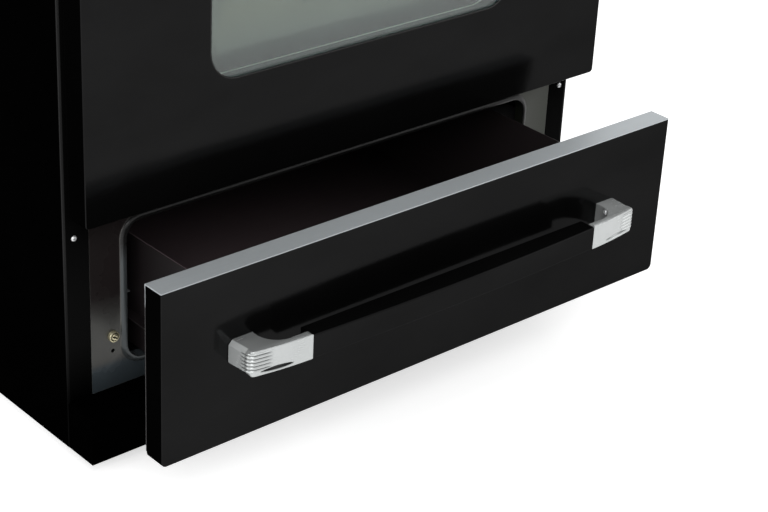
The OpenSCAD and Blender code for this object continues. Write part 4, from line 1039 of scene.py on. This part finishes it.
def frame_fasteners():
    """Every screw of the frame with a domed, cross-recessed head, and the brass fitting."""
    made = []
    for n, (lo, hi) in enumerate(islands("frame_screws")):
        size, mid = hi - lo, (lo + hi) / 2
        r = size.z / 2
        if size.z > FITTING_MIN:
            at = Vector((mid.x, FRONT_Y, mid.z))
            made.append(slotted_fitting("surround_fitting", at, r, FRONT_Y - lo.y, "body"))
            continue
        if size.x < size.y:
            front = lo.y < FRONT_Y
            y = FRONT_Y if front else hi.y - HEAD_SEAT
            at, out = Vector((mid.x, y, mid.z)), Vector((0, -1 if front else 1, 0))
            r = r * FRONT_HEAD if front else r
        else:
            inner = 1 if mid.x < 0 else -1
            x = (hi.x if mid.x < 0 else lo.x) - inner * HEAD_SEAT
            at, out = Vector((x, mid.y, mid.z)), Vector((inner, 0, 0))
        made.append(domed_screw("frame_screw_%02d" % (n + 1), at, out, r, HEAD_H, "body"))
    for piece in made:
        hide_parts("frame_screws")


# ---- knobs and their marks ----

KNOBS = ["knob_front_left", "knob_front_right", "knob_rear_left", "knob_rear_right", "oven_knob"]
KNOB_L = 0.024                           # how far a knob stands out, its raised bar included
FLUTES, FLUTE_DEPTH = 24, 0.0006
DIAL_SWEEP = 270                         # degrees from a dial's first tick to its last


def knob_circle(lo, hi):
    """Middle of a knob in X and Z, and its radius."""
    return (lo.x + hi.x) / 2, (lo.z + hi.z) / 2, (hi.x - lo.x) / 2


def knob(node):
    """Control knob: flared skirt, fluted grip, raised bar and a white line on it."""
    lo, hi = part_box(node)
    mid_x, mid_z, r = knob_circle(lo, hi)
    back = lo.y + KNOB_L
    profile = [(r - 0.0022, 0.0), (r - 0.0006, 0.0003), (r, 0.0012), (r - 0.0004, 0.0024),
               (r - 0.0022, 0.0031), (r - 0.0042, 0.0040), (r - 0.0049, 0.0056), (r - 0.0052, 0.010),
               (r - 0.0054, KNOB_L - 0.0072), (r - 0.0060, KNOB_L - 0.0058), (r - 0.0074, KNOB_L - 0.0051),
               (r * 0.5, KNOB_L - 0.0050)]
    rings = []
    for radius, h in profile:
        ring = []
        grip = smooth((h - 0.0056) / 0.003) * (1 - smooth((h - KNOB_L + 0.0085) / 0.003))
        for a in angles(144):
            fluted = radius - FLUTE_DEPTH * grip * (0.5 - 0.5 * math.cos(a * FLUTES))
            ring.append((mid_x + fluted * math.cos(a), back - h, mid_z + fluted * math.sin(a)))
        rings.append(ring)
    bm = bmesh.new()
    close_ends(bm, grid_faces(bm, rings))
    half_w, half_z, base_h, corner = 0.004, r - 0.003, 0.0045, 0.0030
    rings = []
    for k in range(9):
        t = k / 8
        d = 0.0012 * (1 - math.sqrt(max(0.0, 1 - t ** 4)))
        outline = rounded_outline(-half_w + d, half_w - d, -half_z + d, half_z - d, (corner - d * 0.8,) * 4, 6)
        y = back - base_h - (KNOB_L - base_h) * math.sin(t * math.pi / 2)
        rings.append(at_y(outline, y, mid_x, mid_z))
    close_ends(bm, grid_faces(bm, rings))
    moulding = make_object(node + "_moulding", bm, "knob_black", node, 40)
    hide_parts(node)
    rings = []
    for depth, d in ((0.00036, 0.0), (0.00004, 0.0), (0.0, 0.00008)):
        outline = rounded_outline(-0.0008 + d, 0.0008 - d, 0.002 + d, half_z - 0.0022 - d, (0.0007 - d,) * 4, 6)
        rings.append(at_y(outline, lo.y + depth, mid_x, mid_z))
    bm = bmesh.new()
    close_ends(bm, grid_faces(bm, rings))
    make_object(node + "_line", bm, "knob_mark", node, 40)


def dial_marks():
    """White printed ticks on the panel around each knob, every third one longer and wider."""
    bm = bmesh.new()
    for node in KNOBS:
        cx, cz, r = knob_circle(*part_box(node))
        count = 27 if node == "oven_knob" else 19
        for i in range(count):
            a = math.radians(90 - DIAL_SWEEP * i / (count - 1))
            r0, r1, w = (r + 0.0030, r + 0.0050, 0.0003) if i % 3 else (r + 0.0030, r + 0.0068, 0.00055)
            c, s = math.cos(a), math.sin(a)
            plan = [(cx + u * c - v * s, cz + u * s + v * c) for u, v in ((r0, -w), (r1, -w), (r1, w), (r0, w))]
            low = [bm.verts.new(p) for p in at_y(plan, PANEL_Y - 0.00002)]
            top = [bm.verts.new(p) for p in at_y(plan, PANEL_Y - 0.00012)]
            bm.faces.new(top)
            join_rows(bm, low, top)
    make_object("dial_marks", bm, "knob_mark", "body", 20)


place_camera()
handle("drawer", "drawer")
handle("door", "door")
drawer_pan()
door_pan()
window_gasket()
surround_pressing()
frame_fasteners()
for node in KNOBS:
    knob(node)
dial_marks()
REPLACED = {"drawer_front", "drawer_handle_ends", "drawer_handle_bar", "door_handle_ends", "door_handle_bar",
            "door_skin", "drawer_surround", "frame_screws", *KNOBS}
finish_nodes(REPLACED)


# ---- stage ----

FLOOR_GLOW = 0.62                        # light that makes the floor white where it is seen
STUDIO_LIGHT = 0.5                       # strength of the surroundings' light on the object


def seen_directly(tree):
    """1 for what the camera, reflections and glass see, and 0 for the light that reaches the object."""
    path = add_node(tree, "ShaderNodeLightPath").outputs
    seen = path["Is Camera Ray"]
    for kind in ("Is Glossy Ray", "Is Transmission Ray"):
        seen = add_node(tree, "ShaderNodeMath", {0: seen, 1: path[kind]}, operation="MAXIMUM").outputs[0]
    return seen


def floor_material():
    """White where it is seen, but for the object's shadow, which it keeps."""
    mat = bpy.data.materials.new("floor")
    mat.use_nodes = True
    tree = mat.node_tree
    tree.nodes.clear()
    grain = add_node(tree, "ShaderNodeTexNoise", {"Scale": 3}).outputs["Fac"]
    shades = {0: grain, 6: (0.80, 0.80, 0.80), 7: (0.84, 0.84, 0.84)}
    shade = add_node(tree, "ShaderNodeMix", shades, data_type="RGBA").outputs[2]
    diffuse = add_node(tree, "ShaderNodeBsdfDiffuse", {"Color": shade}).outputs[0]
    power = {0: seen_directly(tree), 1: FLOOR_GLOW}
    strength = add_node(tree, "ShaderNodeMath", power, operation="MULTIPLY").outputs[0]
    glow = add_node(tree, "ShaderNodeEmission", {"Color": (1, 1, 1), "Strength": strength}).outputs[0]
    both = add_node(tree, "ShaderNodeAddShader", {0: diffuse, 1: glow}).outputs[0]
    add_node(tree, "ShaderNodeOutputMaterial", {"Surface": both})
    return mat


def make_floor():
    bm = bmesh.new()
    bmesh.ops.create_grid(bm, x_segments=2, y_segments=2, size=30)
    mesh = bpy.data.meshes.new("floor")
    bm.to_mesh(mesh)
    bm.free()
    floor = bpy.data.objects.new("floor", mesh)
    bpy.context.scene.collection.objects.link(floor)
    mesh.materials.append(floor_material())


def make_world():
    """White where it is seen, and a softer light on the object."""
    world = bpy.data.worlds.new("studio")
    bpy.context.scene.world = world
    world.use_nodes = True
    tree = world.node_tree
    tree.nodes.clear()
    levels = {"Value": seen_directly(tree), "To Min": STUDIO_LIGHT, "To Max": 1.0}
    level = add_node(tree, "ShaderNodeMapRange", levels).outputs["Result"]
    back = add_node(tree, "ShaderNodeBackground", {"Color": (1, 1, 1), "Strength": level}).outputs[0]
    add_node(tree, "ShaderNodeOutputWorld", {"Surface": back})


def softbox(name, at, target, size, power):
    data = bpy.data.lights.new(name, "AREA")
    data.shape = "RECTANGLE"
    data.size, data.size_y = size
    data.energy = power
    obj = bpy.data.objects.new(name, data)
    bpy.context.scene.collection.objects.link(obj)
    obj.location = at
    obj.rotation_mode = "QUATERNION"
    obj.rotation_quaternion = (Vector(target) - Vector(at)).to_track_quat("-Z", "Y")


make_floor()
make_world()
softbox("key", (-2.6, -3.2, 3.4), (0, 0, 0.5), (2.6, 2.2), 90)
softbox("fill", (3.6, -2.4, 2.2), (0, 0, 0.4), (2.2, 2.2), 18)
softbox("left", (-4.0, 0.2, 1.7), (0, 0, 0.3), (2.4, 2.0), 40)
softbox("top", (0.2, 0.6, 4.2), (0, 0, 0.4), (3.0, 2.6), 60)
scene = bpy.context.scene
scene.view_settings.view_transform = "Standard"
bpy.context.view_layer.update()
